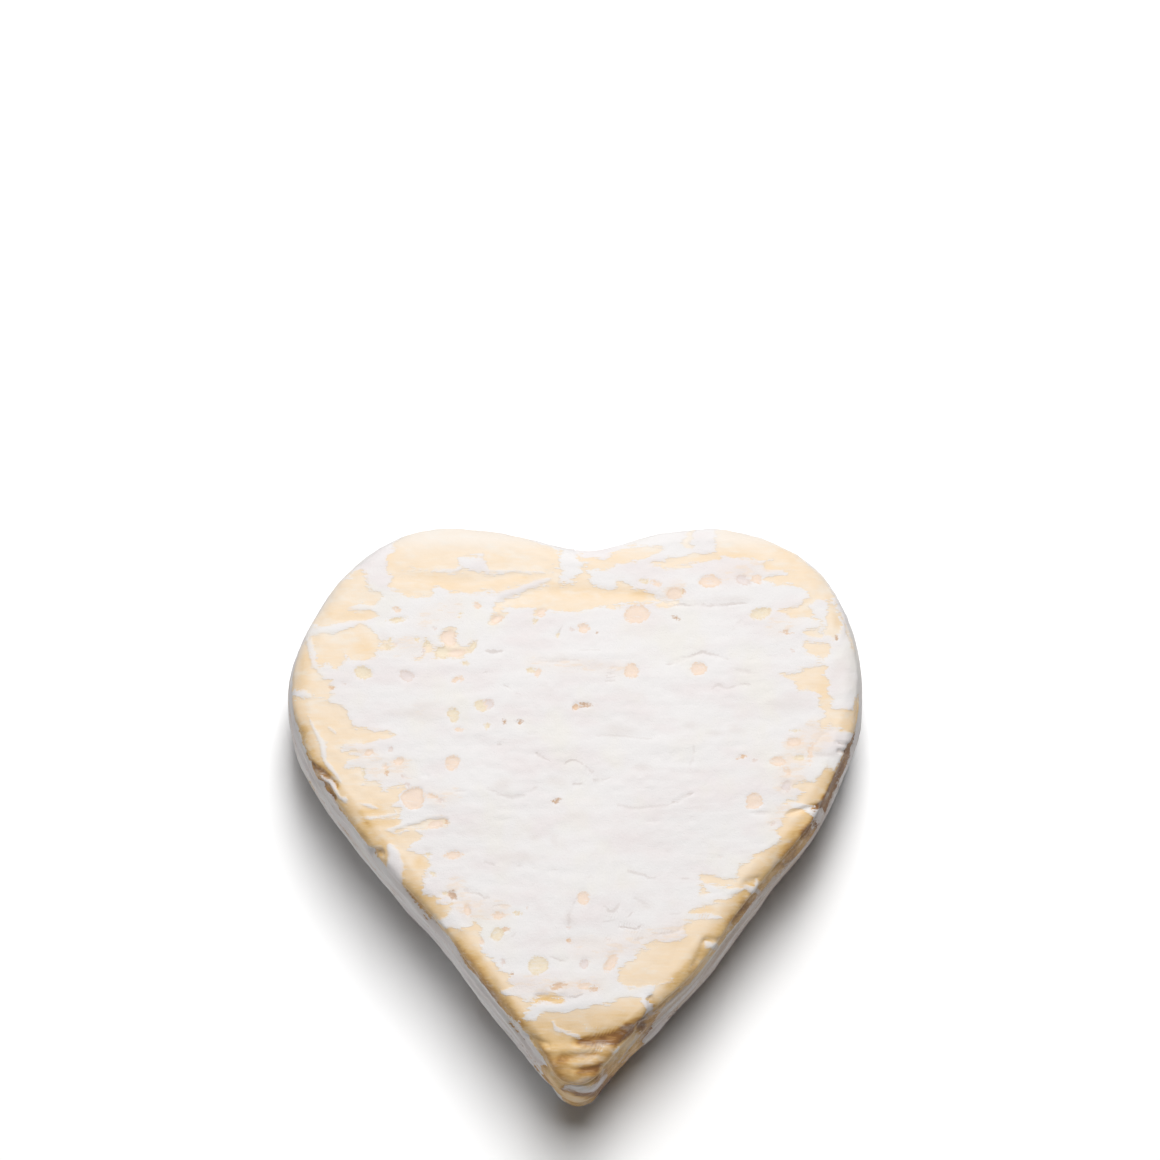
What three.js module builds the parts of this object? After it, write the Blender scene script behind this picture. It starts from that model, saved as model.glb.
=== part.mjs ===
// A heart-shaped soft cheese with a white-mould rind, as it comes out of its mould.
// It ripened as one piece, so the whole cheese is one closed solid.
//
// Frame: millimetres, +Z up. The cheese lies on its flat underside at z = 0.
// The origin is the middle of the footprint, +X runs from lobe to lobe,
// and the point of the heart is towards -Y.

import * as THREE from 'three';

// ---- Overall sizes ----------------------------------------------------------

const WIDTH = 100;            // lobe to lobe
const LENGTH = 99;            // crest of the lobes to the point
const THICKNESS = 32;         // underside to the highest part of the top

// ---- Heart outline ----------------------------------------------------------

const NOTCH_DEPTH = 3.5;      // how far the notch dips below the crests
const CREST_OUT = 22;         // crest of each lobe, from the centre line
const BELLY_UP = 19;          // widest place, above the middle of the length
const TIP_RADIUS = 5;         // rounding of the point
const FLANK_ANGLE = 38;       // degrees between flank and centre line at the point

// How far each curve runs straight on from its end, as a share of its own span.
const NOTCH_EASE = 0.3;
const CREST_EASE = 0.47;
const LOBE_EASE = 0.58;
const BELLY_EASE = 0.2;
const FLANK_EASE = 0.56;

// ---- Cross-section ----------------------------------------------------------

const SHOULDER_RADIUS = 4;    // rounding between top and wall
const FOOT_RADIUS = 4;        // rounding between wall and underside
const WALL_BULGE = 1;         // the wall's middle stands out this far past its ends
const CROWN = 1;              // the top's middle stands up this far past its rim
const TIP_DROOP = 3.5;        // the top sags this far at the point
const DROOP_REACH = 16;       // the sag starts this far back from the point

// ---- Fineness ---------------------------------------------------------------

const NOTCH_STEPS = 7;
const LOBE_STEPS = 15;
const FLANK_STEPS = 22;
const TIP_STEPS = 5;
const ROUND_STEPS = 5;
const WALL_STEPS = 4;
const CROWN_STEPS = 6;

const RIND = { color: 0xefebe6, roughness: 0.85, metalness: 0 };

// The middle of the heart, from which the whole outline can be seen.
const HUB = new THREE.Vector2(0, BELLY_UP / 2);

/** One half of the outline, from the notch round the right lobe to the point. */
function halfOutline() {
  const top = LENGTH / 2;
  const side = WIDTH / 2;
  const flank = THREE.MathUtils.degToRad(FLANK_ANGLE);
  const down = new THREE.Vector2(-Math.sin(flank), -Math.cos(flank));

  const notch = new THREE.Vector2(0, top - NOTCH_DEPTH);
  const crest = new THREE.Vector2(CREST_OUT, top);
  const belly = new THREE.Vector2(side, BELLY_UP);
  const tipCentre = new THREE.Vector2(0, TIP_RADIUS - top);
  const tangent = tipCentre.clone();
  tangent.x += TIP_RADIUS * Math.cos(flank);
  tangent.y -= TIP_RADIUS * Math.sin(flank);
  const flankSpan = belly.distanceTo(tangent);

  const notchCurve = new THREE.CubicBezierCurve(
    notch,
    new THREE.Vector2(NOTCH_EASE * CREST_OUT, notch.y),
    new THREE.Vector2(CREST_OUT * (1 - CREST_EASE), top),
    crest,
  );
  const lobeCurve = new THREE.CubicBezierCurve(
    crest,
    new THREE.Vector2(crest.x + LOBE_EASE * (side - crest.x), top),
    new THREE.Vector2(side, belly.y + LOBE_EASE * (top - belly.y)),
    belly,
  );
  const flankCurve = new THREE.CubicBezierCurve(
    belly,
    new THREE.Vector2(side, belly.y - BELLY_EASE * flankSpan),
    tangent.clone().addScaledVector(down, -FLANK_EASE * flankSpan),
    tangent,
  );
  const tipCurve = new THREE.EllipseCurve(
    tipCentre.x, tipCentre.y, TIP_RADIUS, TIP_RADIUS, -flank, -Math.PI / 2, true,
  );

  const points = [];
  addCurve(points, notchCurve, NOTCH_STEPS);
  addCurve(points, lobeCurve, LOBE_STEPS);
  addCurve(points, flankCurve, FLANK_STEPS);
  addCurve(points, tipCurve, TIP_STEPS);
  points.push(new THREE.Vector2(0, -top));
  return points;
}

/** Add evenly spaced points along a curve, leaving out its last one. */
function addCurve(points, curve, steps) {
  points.push(...curve.getSpacedPoints(steps).slice(0, -1));
}

/** The whole outline as one counter-clockwise loop that starts at the notch. */
function outline() {
  const right = halfOutline();
  const left = right.slice(1, -1).map((p) => new THREE.Vector2(-p.x, p.y));
  return [...left, right.at(-1), ...right.slice(1, -1).reverse(), right[0]];
}

/** The cross-section from the rim of the underside to the rim of the top. */
function wallSection() {
  const levels = [];
  const wallLow = FOOT_RADIUS;
  const wallHigh = THICKNESS - CROWN - SHOULDER_RADIUS;
  for (let i = 0; i < ROUND_STEPS; i += 1) {
    const a = (i / ROUND_STEPS) * Math.PI / 2;
    const inset = WALL_BULGE + FOOT_RADIUS * (1 - Math.sin(a));
    levels.push({ inset, z: FOOT_RADIUS * (1 - Math.cos(a)) });
  }
  for (let i = 0; i < WALL_STEPS; i += 1) {
    const t = i / WALL_STEPS;
    const inset = WALL_BULGE * (2 * t - 1) ** 2;
    levels.push({ inset, z: THREE.MathUtils.lerp(wallLow, wallHigh, t) });
  }
  for (let i = 0; i <= ROUND_STEPS; i += 1) {
    const a = (i / ROUND_STEPS) * Math.PI / 2;
    const inset = WALL_BULGE + SHOULDER_RADIUS * (1 - Math.cos(a));
    levels.push({ inset, z: wallHigh + SHOULDER_RADIUS * Math.sin(a) });
  }
  return levels;
}

/** How much of its height the cheese keeps at a place along its length. */
function droopFactor(y) {
  const fromTip = y + LENGTH / 2;
  const sag = 1 - THREE.MathUtils.smoothstep(fromTip, 0, DROOP_REACH);
  return 1 - (TIP_DROOP / THICKNESS) * sag;
}

/** A point of the surface: the outline point drawn in towards the hub. */
function surfacePoint(edge, inset, share, z) {
  const reach = edge.distanceTo(HUB);
  const k = share * (reach - inset) / reach;
  const p = edge.clone().sub(HUB).multiplyScalar(k).add(HUB);
  return [p.x, p.y, z * droopFactor(p.y)];
}

/** The closed surface, built as rings from the underside up to the crown. */
function heartGeometry() {
  const loop = outline();
  const rings = wallSection().map(({ inset, z }) => (
    loop.map((edge) => surfacePoint(edge, inset, 1, z))
  ));
  const rimInset = WALL_BULGE + SHOULDER_RADIUS;
  for (let i = 1; i < CROWN_STEPS; i += 1) {
    const share = 1 - i / CROWN_STEPS;
    const z = THICKNESS - CROWN * share ** 2;
    rings.push(loop.map((edge) => surfacePoint(edge, rimInset, share, z)));
  }

  const count = loop.length;
  const positions = rings.flat(2);
  const bottomCentre = rings.length * count;
  positions.push(HUB.x, HUB.y, 0);
  positions.push(HUB.x, HUB.y, THICKNESS);

  const index = [];
  for (let k = 0; k < count; k += 1) {
    const next = (k + 1) % count;
    index.push(bottomCentre, next, k);
    for (let r = 0; r + 1 < rings.length; r += 1) {
      const low = r * count;
      const high = low + count;
      index.push(low + k, low + next, high + next);
      index.push(low + k, high + next, high + k);
    }
    const last = (rings.length - 1) * count;
    index.push(last + k, last + next, bottomCentre + 1);
  }

  const geometry = new THREE.BufferGeometry();
  geometry.setAttribute('position', new THREE.Float32BufferAttribute(positions, 3));
  geometry.setIndex(index);
  geometry.computeVertexNormals();
  return geometry;
}

const cheese = new THREE.Mesh(heartGeometry(), new THREE.MeshStandardMaterial(RIND));
cheese.name = 'cheese_heart';

const part = new THREE.Group();
part.add(cheese);

export default part;
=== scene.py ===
"""A heart-shaped soft cheese: its form, its worn white-mould rind and its studio."""

import logging
import math
from dataclasses import dataclass, field
from enum import Enum

import bpy
import numpy as np
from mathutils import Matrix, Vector


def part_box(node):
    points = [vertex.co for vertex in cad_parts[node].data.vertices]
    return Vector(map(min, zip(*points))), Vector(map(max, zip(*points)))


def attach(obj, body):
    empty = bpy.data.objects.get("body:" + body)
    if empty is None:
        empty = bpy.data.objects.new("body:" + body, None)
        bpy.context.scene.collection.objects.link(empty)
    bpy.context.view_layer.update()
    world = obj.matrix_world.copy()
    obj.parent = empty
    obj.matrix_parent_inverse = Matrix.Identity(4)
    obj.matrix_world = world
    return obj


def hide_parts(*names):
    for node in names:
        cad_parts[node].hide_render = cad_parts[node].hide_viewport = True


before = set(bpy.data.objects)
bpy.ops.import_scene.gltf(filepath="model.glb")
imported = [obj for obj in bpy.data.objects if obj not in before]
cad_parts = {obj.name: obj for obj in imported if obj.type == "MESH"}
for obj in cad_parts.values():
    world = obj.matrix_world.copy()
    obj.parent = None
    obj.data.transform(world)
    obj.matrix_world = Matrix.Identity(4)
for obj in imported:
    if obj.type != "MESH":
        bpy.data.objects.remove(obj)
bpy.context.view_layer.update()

NODE = "cheese_heart"
MM = 0.001                    # one millimetre in metres
FULL_LIGHT = 1.2              # light on the top face, for a white that reads as 1

Array = np.ndarray
Point = tuple[float, float]
Knot = tuple[float, float, float]     # a place along and across, and a half-width
Faces = list[tuple[int, ...]]
Colour = tuple[float, float, float]

log = logging.getLogger("cheese")


# ---------------------------------------------------------------------------
# Small mathematics
# ---------------------------------------------------------------------------

def smooth(low: float, high: float, value: Array) -> Array:
    """Ease a value from 0 at low to 1 at high.

    Args:
        low: where the result starts to rise.
        high: where the result reaches 1.
        value: the numbers to ease.

    Returns:
        Numbers between 0 and 1.
    """
    t = np.clip((value - low) / (high - low), 0.0, 1.0)
    return t * t * (3.0 - 2.0 * t)


def between(rise: Point, fall: Point, value: Array) -> Array:
    """Ease a value from 0 to 1 over the rise, and back to 0 over the fall."""
    return smooth(*rise, value) * (1.0 - smooth(*fall, value))


def project(x: Array, y: Array, start: tuple, end: tuple) -> tuple[Array, Array]:
    """Project places onto a straight piece of a path.

    Args:
        x: places along the width.
        y: places along the length.
        start: where the piece starts.
        end: where it ends.

    Returns:
        How far along the piece each place lies, as a share of its length, and the
        distance from the piece.
    """
    dx, dy = end[0] - start[0], end[1] - start[1]
    free = ((x - start[0]) * dx + (y - start[1]) * dy) / (dx * dx + dy * dy)
    t = np.clip(free, 0.0, 1.0)
    return free, np.hypot(x - start[0] - t * dx, y - start[1] - t * dy)


def bezier(a: Point, b: Point, c: Point, d: Point, steps: int) -> Array:
    """Sample a cubic curve, leaving out its last point.

    Args:
        a: the start.
        b: the first handle.
        c: the second handle.
        d: the end.
        steps: how many points to give.

    Returns:
        The points, one to a row.
    """
    t = np.linspace(0.0, 1.0, steps, endpoint=False)[:, None]
    near = (1 - t) ** 3 * np.array(a) + 3 * (1 - t) ** 2 * t * np.array(b)
    far = 3 * (1 - t) * t ** 2 * np.array(c) + t ** 3 * np.array(d)
    return near + far


class Grain:
    """Smooth seeded noise in space, with values between -1 and 1."""

    SIDE = 48

    def __init__(self, seed: int) -> None:
        """Fill the lattice that the noise is read from."""
        shape = (self.SIDE,) * 3
        self._lattice = np.random.default_rng(seed).uniform(-1.0, 1.0, shape)

    def at(self, points: Array, size: tuple[float, float, float]) -> Array:
        """Read the noise.

        Args:
            points: places in millimetres, one to a row.
            size: the length of one blotch along each axis, in millimetres.

        Returns:
            One value to a place.
        """
        q = points / np.array(size)
        cell = np.floor(q).astype(int)
        t = q - cell
        t = t * t * (3.0 - 2.0 * t)
        total = np.zeros(len(points))
        for corner in np.ndindex(2, 2, 2):
            step = np.array(corner)
            weight = np.prod(np.where(step, t, 1.0 - t), axis=1)
            i, j, k = ((cell + step) % self.SIDE).T
            total += weight * self._lattice[i, j, k]
        return total

    def layered(self, points: Array, size: tuple[float, float, float],
                layers: int = 3) -> Array:
        """Add finer and fainter layers of the noise.

        Args:
            points: places in millimetres, one to a row.
            size: the blotch of the coarsest layer.
            layers: how many layers, each half as large and half as strong.

        Returns:
            One value to a place, roughly between -1 and 1.
        """
        total = np.zeros(len(points))
        for layer in range(layers):
            scale = 0.5 ** layer
            finer = tuple(s * scale for s in size)
            total += scale * self.at(points + 17.3 * layer, finer)
        return total / (2.0 - 0.5 ** (layers - 1))


# ---------------------------------------------------------------------------
# Marks on the rind, in millimetres in plan
# ---------------------------------------------------------------------------

class Tint(Enum):
    """The colour on the floor of a pit, as a place on the pit's colour scale."""

    MAUVE = 0.0
    PEACH = 0.3
    OLIVE = 0.55
    RUST = 0.75
    DARK = 1.0


@dataclass(frozen=True)
class Patch:
    """An area inside a closed outline."""

    outline: tuple[Point, ...]

    def inside(self, x: Array, y: Array) -> Array:
        """Measure how far inside the outline each place lies.

        Args:
            x: places along the width.
            y: places along the length.

        Returns:
            The distance from the edge, negative outside it.
        """
        nearest = np.full(len(x), np.inf)
        within = np.zeros(len(x), dtype=bool)
        for start, end in zip(self.outline, self.outline[1:] + self.outline[:1]):
            (ax, ay), (bx, by) = start, end
            nearest = np.minimum(nearest, project(x, y, start, end)[1])
            if ay != by:
                crossing = ax + (y - ay) * (bx - ax) / (by - ay)
                within ^= ((ay > y) != (by > y)) & (x < crossing)
        return np.where(within, nearest, -nearest)


@dataclass(frozen=True)
class Stroke:
    """A tapered band along a path of (x, y, half-width) points."""

    path: tuple[Knot, ...]
    strength: float = 1.0

    @staticmethod
    def _width(start: Knot, end: Knot, free: Array) -> Array:
        """Give the band's half-width beside each place."""
        return start[2] + np.clip(free, 0.0, 1.0) * (end[2] - start[2])

    def inside(self, x: Array, y: Array) -> Array:
        """Measure how far inside the band each place lies.

        Args:
            x: places along the width.
            y: places along the length.

        Returns:
            The distance from the edge, negative outside it.
        """
        best = np.full(len(x), -np.inf)
        for start, end in zip(self.path, self.path[1:]):
            free, away = project(x, y, start, end)
            best = np.maximum(best, self._width(start, end, free) - away)
        return best

    def across(self, x: Array, y: Array) -> tuple[Array, Array, Array]:
        """Tell which side of the path each place is on, and how near.

        Args:
            x: places along the width.
            y: places along the length.

        Returns:
            The signed distance to the path, the band's half-width beside it, and
            how far the place lies past the path's nearer end.
        """
        side = np.full(len(x), np.inf)
        width = np.zeros(len(x))
        past = np.zeros(len(x))
        final = len(self.path) - 2
        for i, (start, end) in enumerate(zip(self.path, self.path[1:])):
            dx, dy = end[0] - start[0], end[1] - start[1]
            span = math.hypot(dx, dy)
            free, away = project(x, y, start, end)
            turn = np.where(dx * (y - start[1]) - dy * (x - start[0]) < 0.0, -1.0, 1.0)
            closer = away < np.abs(side)
            side = np.where(closer, turn * away, side)
            width = np.where(closer, self._width(start, end, free), width)
            before = np.maximum(-free, 0.0) * span * (i == 0)
            beyond = np.maximum(free - 1.0, 0.0) * span * (i == final)
            past = np.where(closer, before + beyond, past)
        return side, width, past


@dataclass(frozen=True)
class Pit:
    """An oval hollow in the rind."""

    x: float
    y: float
    wide: float
    high: float
    tint: Tint = Tint.PEACH
    turn: float = 0.0
    depth: float = 0.35

    def inside(self, x: Array, y: Array) -> Array:
        """Measure how far inside the oval each place lies.

        Args:
            x: places along the width.
            y: places along the length.

        Returns:
            The distance from the edge, negative outside it.
        """
        c, s = math.cos(math.radians(self.turn)), math.sin(math.radians(self.turn))
        u = ((x - self.x) * c + (y - self.y) * s) / self.wide
        v = ((y - self.y) * c - (x - self.x) * s) / self.high
        return (1.0 - np.hypot(u, v)) * min(self.wide, self.high)


def union(marks: tuple, x: Array, y: Array) -> Array:
    """Give the distance inside whichever of the marks holds each place best."""
    return np.maximum.reduce([mark.inside(x, y) for mark in marks])


# Rind laid bare, lobe by lobe. The outlines overrun the rim, which trims them.
BARE_NOTCH = (
    Patch(((-13, 33.4), (-12.4, 36.1), (-7, 38), (-4.3, 39.2), (-3.9, 44), (-3, 44.5),
           (-2.9, 38.2), (-0.4, 38.8), (0.7, 40), (0.7, 43.4), (1.4, 43.4), (1.5, 40.4),
           (2.4, 39.9), (2.7, 38.7), (4, 38.1), (6.4, 38.1), (7.3, 39), (8.4, 39), (9.1, 37.4),
           (12, 37), (14.2, 36.2), (18.2, 35.7), (18, 35.3), (13, 35.1), (8.4, 35.2),
           (6, 34.5), (0, 33.9), (-5, 33.9), (-6.9, 32.5), (-6.8, 34.4), (-11.4, 34.7),
           (-12.3, 33.5))),
    Patch(((1.2, 40.6), (1.5, 43.2), (4.5, 43.3), (7.5, 44.6), (10.5, 45.3), (13.5, 45.1),
           (15.2, 44.5), (12, 43.3), (8, 42.3), (5, 41.6), (2.5, 40.7))),
)
BARE_LEFT_LOBE = (
    Patch(((-25.1, 25.2), (-24.8, 27.4), (-23.6, 27), (-23.4, 30), (-22, 30.9), (-20.4, 30.4),
           (-20.2, 28), (-18.8, 27.1), (-17.6, 28.8), (-16.9, 28.6), (-17.9, 26.4),
           (-20, 25.2))),
    Stroke(((-27.2, 25.2, 0.2), (-26, 27.2, 0.45), (-25.6, 28.4, 0.3))),
    Stroke(((-34, 27.7, 0.5), (-32.4, 27.8, 0.6), (-31, 28, 0.25))),
    Stroke(((-13.9, 32.3, 0.8), (-13.4, 34, 0.7), (-12.6, 35.2, 0.6))),
    Patch(((-32.7, 41), (-32.1, 44.5), (-31, 48), (-19, 50), (-9, 47.5), (-4, 45), (-3.4, 43.4),
           (-3.6, 40.8), (-6, 40.7), (-13.5, 40.8), (-15.2, 40.7), (-15.9, 42.3),
           (-16.2, 43.4), (-20.3, 43.2), (-21, 41), (-30.5, 40.8))),
    Patch(((-32.8, 41.4), (-30, 41.1), (-20, 40.9), (-16.4, 40.7), (-15.4, 40.2),
           (-8, 40.6), (-4.2, 41), (-4.2, 39.6), (-7, 39), (-11, 37.8), (-13.5, 37.1),
           (-17, 37), (-21, 36.6), (-22.6, 37), (-23.6, 38.7), (-25, 37), (-25.8, 35.9),
           (-30, 36.4), (-32.3, 38.5))),
    Patch(((-47, 32), (-42, 39), (-37.5, 41), (-36.3, 39), (-35.8, 37.8), (-34.2, 37.4),
           (-33.7, 36.6), (-34.2, 34.8), (-39.5, 34.6), (-34.9, 33.9), (-34.8, 33),
           (-37, 32.4), (-40.5, 32), (-44.5, 30.8))),
    Patch(((-46.3, 29.2), (-40, 30.3), (-38.5, 31), (-37.2, 31.8), (-36, 31), (-34.9, 30.1),
           (-34.6, 28), (-34.8, 25.8), (-36.5, 26), (-38.8, 25.1), (-39.3, 24.8),
           (-40.1, 26.1), (-40.9, 24.6), (-42, 23.5), (-43, 24.5), (-44.6, 23.9),
           (-45.4, 25.5), (-45.5, 28))),
    Patch(((-46.5, 28.5), (-51, 26), (-51, 20), (-46.6, 19.3), (-45.8, 18.4), (-43, 18.4),
           (-41.7, 20.2), (-43.6, 22), (-44.8, 22.9), (-45.9, 24.4), (-46.2, 26.5))),
)
BARE_RIGHT_LOBE = (
    Patch(((12.3, 41.7), (15, 42.6), (18, 43.3), (21, 43.9), (23.8, 44.3), (24.7, 43.4),
           (25, 42.8), (22, 42.2), (19, 41.8), (15, 41.4))),
    Patch(((24.2, 46.6), (26, 50), (33, 48.5), (39, 44), (44, 39), (45.6, 36.1), (43.5, 36),
           (41, 36.2), (40, 37.4), (38, 38.4), (34, 38.7), (32.6, 39.3), (33.3, 40.3),
           (36.5, 40.6), (36.5, 41.1), (32.6, 41.4), (32.9, 42.2), (34.3, 43), (31, 42.9),
           (27, 43.1), (24.6, 43.4))),
    Patch(((18.8, 48.6), (19, 45.2), (20.4, 45.2), (20.3, 49.5))),
    Patch(((35.2, 34.1), (38.5, 34.6), (39.7, 35.6), (40.2, 36.2), (42.6, 36.2), (41, 35.3),
           (40.2, 34.7), (41.9, 32.3), (40, 32.6), (38.1, 32.5), (36.8, 33.6))),
    Patch(((43.2, 33.5), (44, 35.2), (45.3, 35), (45.8, 32.5), (45.9, 30), (45.2, 29.4),
           (43.8, 29.4), (43, 30.5))),
    Patch(((39.8, 30.5), (42.5, 30.8), (43, 29.6), (42.7, 29.3), (40.1, 29.4))),
    Patch(((39.4, 28.5), (43.1, 28.3), (43.9, 27.4), (43.4, 25.3), (39.3, 26.6))),
    Patch(((36, 22.4), (39, 23.6), (42, 24.6), (42.9, 24.3), (42.3, 22.5), (43.2, 21.4),
           (43.8, 19), (44.7, 16.4), (46.5, 16.2), (48.4, 16.6), (49.2, 19), (51, 19),
           (51, 13), (47.6, 12.2), (46, 12.5), (44, 13.3), (42.3, 13.2), (41.9, 14.7),
           (43.4, 15.4), (42.7, 16.6), (41.8, 18.2), (41.1, 19.5), (39, 20), (38, 21))),
    Stroke(((45.8, 33.4, 0.15), (47, 31.5, 0.3), (48, 28.8, 0.5), (48.3, 27, 0.45))),
)
BARE_LEFT_FLANK = (
    Patch(((-51, 18.8), (-48.2, 18.3), (-45, 18.6), (-42.5, 18), (-40.5, 17), (-39.4, 15.7),
           (-38.9, 13.4), (-37, 13.1), (-34, 12.9), (-32.1, 12.2), (-33.4, 11.4), (-35, 10.7),
           (-38, 10.3), (-40.2, 10.2), (-40.3, 9.2), (-38, 8.8), (-37.3, 8.4), (-38.4, 8),
           (-39.7, 7.6), (-40, 6.4), (-37.5, 6.1), (-36.4, 5.9), (-36.4, 4.4), (-37, 3.9),
           (-34, 3.6), (-33.4, 2.2), (-32, 2.2), (-30.4, 3), (-30, 2.4), (-30.2, 0.4),
           (-31.3, -0.5), (-30, -0.6), (-30, -3.1), (-31.6, -4.4), (-33.6, -5), (-31, -5.4),
           (-28, -5), (-26.6, -5.4), (-27.2, -6.2), (-28.6, -7.4), (-28.8, -8.2),
           (-27.5, -8.8), (-26, -9.3), (-25.2, -10.6), (-26, -11.7), (-26.5, -13),
           (-26.6, -16.3), (-24.2, -16.5), (-23.8, -17.3), (-21.8, -17.7), (-21.3, -18.4),
           (-23.3, -20.5), (-26, -21), (-40, -12), (-52, 2))),
    Patch(((-24.8, -21), (-22.5, -21.8), (-20.5, -22.4), (-18.7, -22.5), (-18.1, -21.1),
           (-17.2, -21.3), (-16.6, -22.6), (-15.8, -23.7), (-16.2, -24.6), (-16.4, -26.3),
           (-15, -27), (-14, -27.6), (-13.3, -28.8), (-12.2, -29.9), (-11.8, -31.3),
           (-10.3, -31.6), (-10.1, -32.3), (-12.5, -33.1), (-12.6, -33.9), (-7.6, -34.3),
           (-7.2, -35), (-8.2, -36.7), (-9, -38.2), (-14, -41), (-27, -25))),
    Stroke(((-31, -5, 0.5), (-27.5, -4.4, 0.5), (-25, -3.7, 0.75), (-22.5, -3.4, 0.6))),
    Stroke(((-7.2, -34.5, 0.4), (-4, -34.5, 0.65), (-2, -34.2, 0.55))),
)
BARE_RIGHT_FLANK = (
    Patch(((38.2, 3.5), (41, 3.6), (42.8, 5.2), (43.5, 6.3), (44.4, 5.8), (47, 2), (45, -2),
           (40.6, -0.3), (38, 0.1), (35.8, -0.1), (38.4, 1.2), (39.9, 1.6), (38.3, 2.6))),
    Patch(((39.8, -0.9), (38, -1.4), (36.4, -2.2), (35.2, -3), (35, -4.6), (35.4, -6),
           (34, -7.4), (33.1, -8), (31.4, -8.8), (29.4, -10.3), (28.4, -10.9), (28.2, -12),
           (28, -13.2), (24, -13.1), (22, -13), (21.8, -13.7), (22.3, -14.5), (25, -14.6),
           (28, -15.1), (29.3, -15.4), (28.5, -15.9), (25.5, -17.1), (23, -17.8),
           (20.5, -18.3), (19.6, -19), (20.2, -19.5), (24.6, -19.7), (25, -20.2),
           (24, -20.5), (20, -20.8), (18.2, -21.5), (18.4, -22.6), (19.3, -23.6),
           (18, -24.4), (15.5, -24.4), (12.3, -24.9), (9.7, -26.1), (10.7, -27.9),
           (9.3, -27.9), (8, -28.9), (8.2, -31.6), (9.5, -32.9), (11.5, -32.6), (15.6, -31.2),
           (12.9, -33.2), (13.2, -34), (14, -38), (30, -26), (44, -8))),
    Patch(((21.3, -14.6), (22.3, -14.9), (23, -15.8), (22.4, -16.3), (21.2, -16))),
    Stroke(((48.6, 11.6, 0.4), (47.9, 9, 0.9), (46.8, 6.5, 1.2), (45.4, 4, 1.2))),
)
BARE_POINT = (
    Patch(((-9.8, -38.2), (-8, -38), (-6, -37.2), (-4, -36.7), (-1, -36.8), (0, -35.9),
           (2, -35.9), (5, -35.1), (8, -34.4), (10, -33.9), (11.4, -34.2), (12, -35.6),
           (12.2, -38.6), (18, -37), (6, -60), (-6, -60), (-16, -38))),
)
BARE = BARE_NOTCH + BARE_LEFT_LOBE + BARE_RIGHT_LOBE + BARE_LEFT_FLANK + BARE_RIGHT_FLANK
BARE += BARE_POINT

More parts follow.
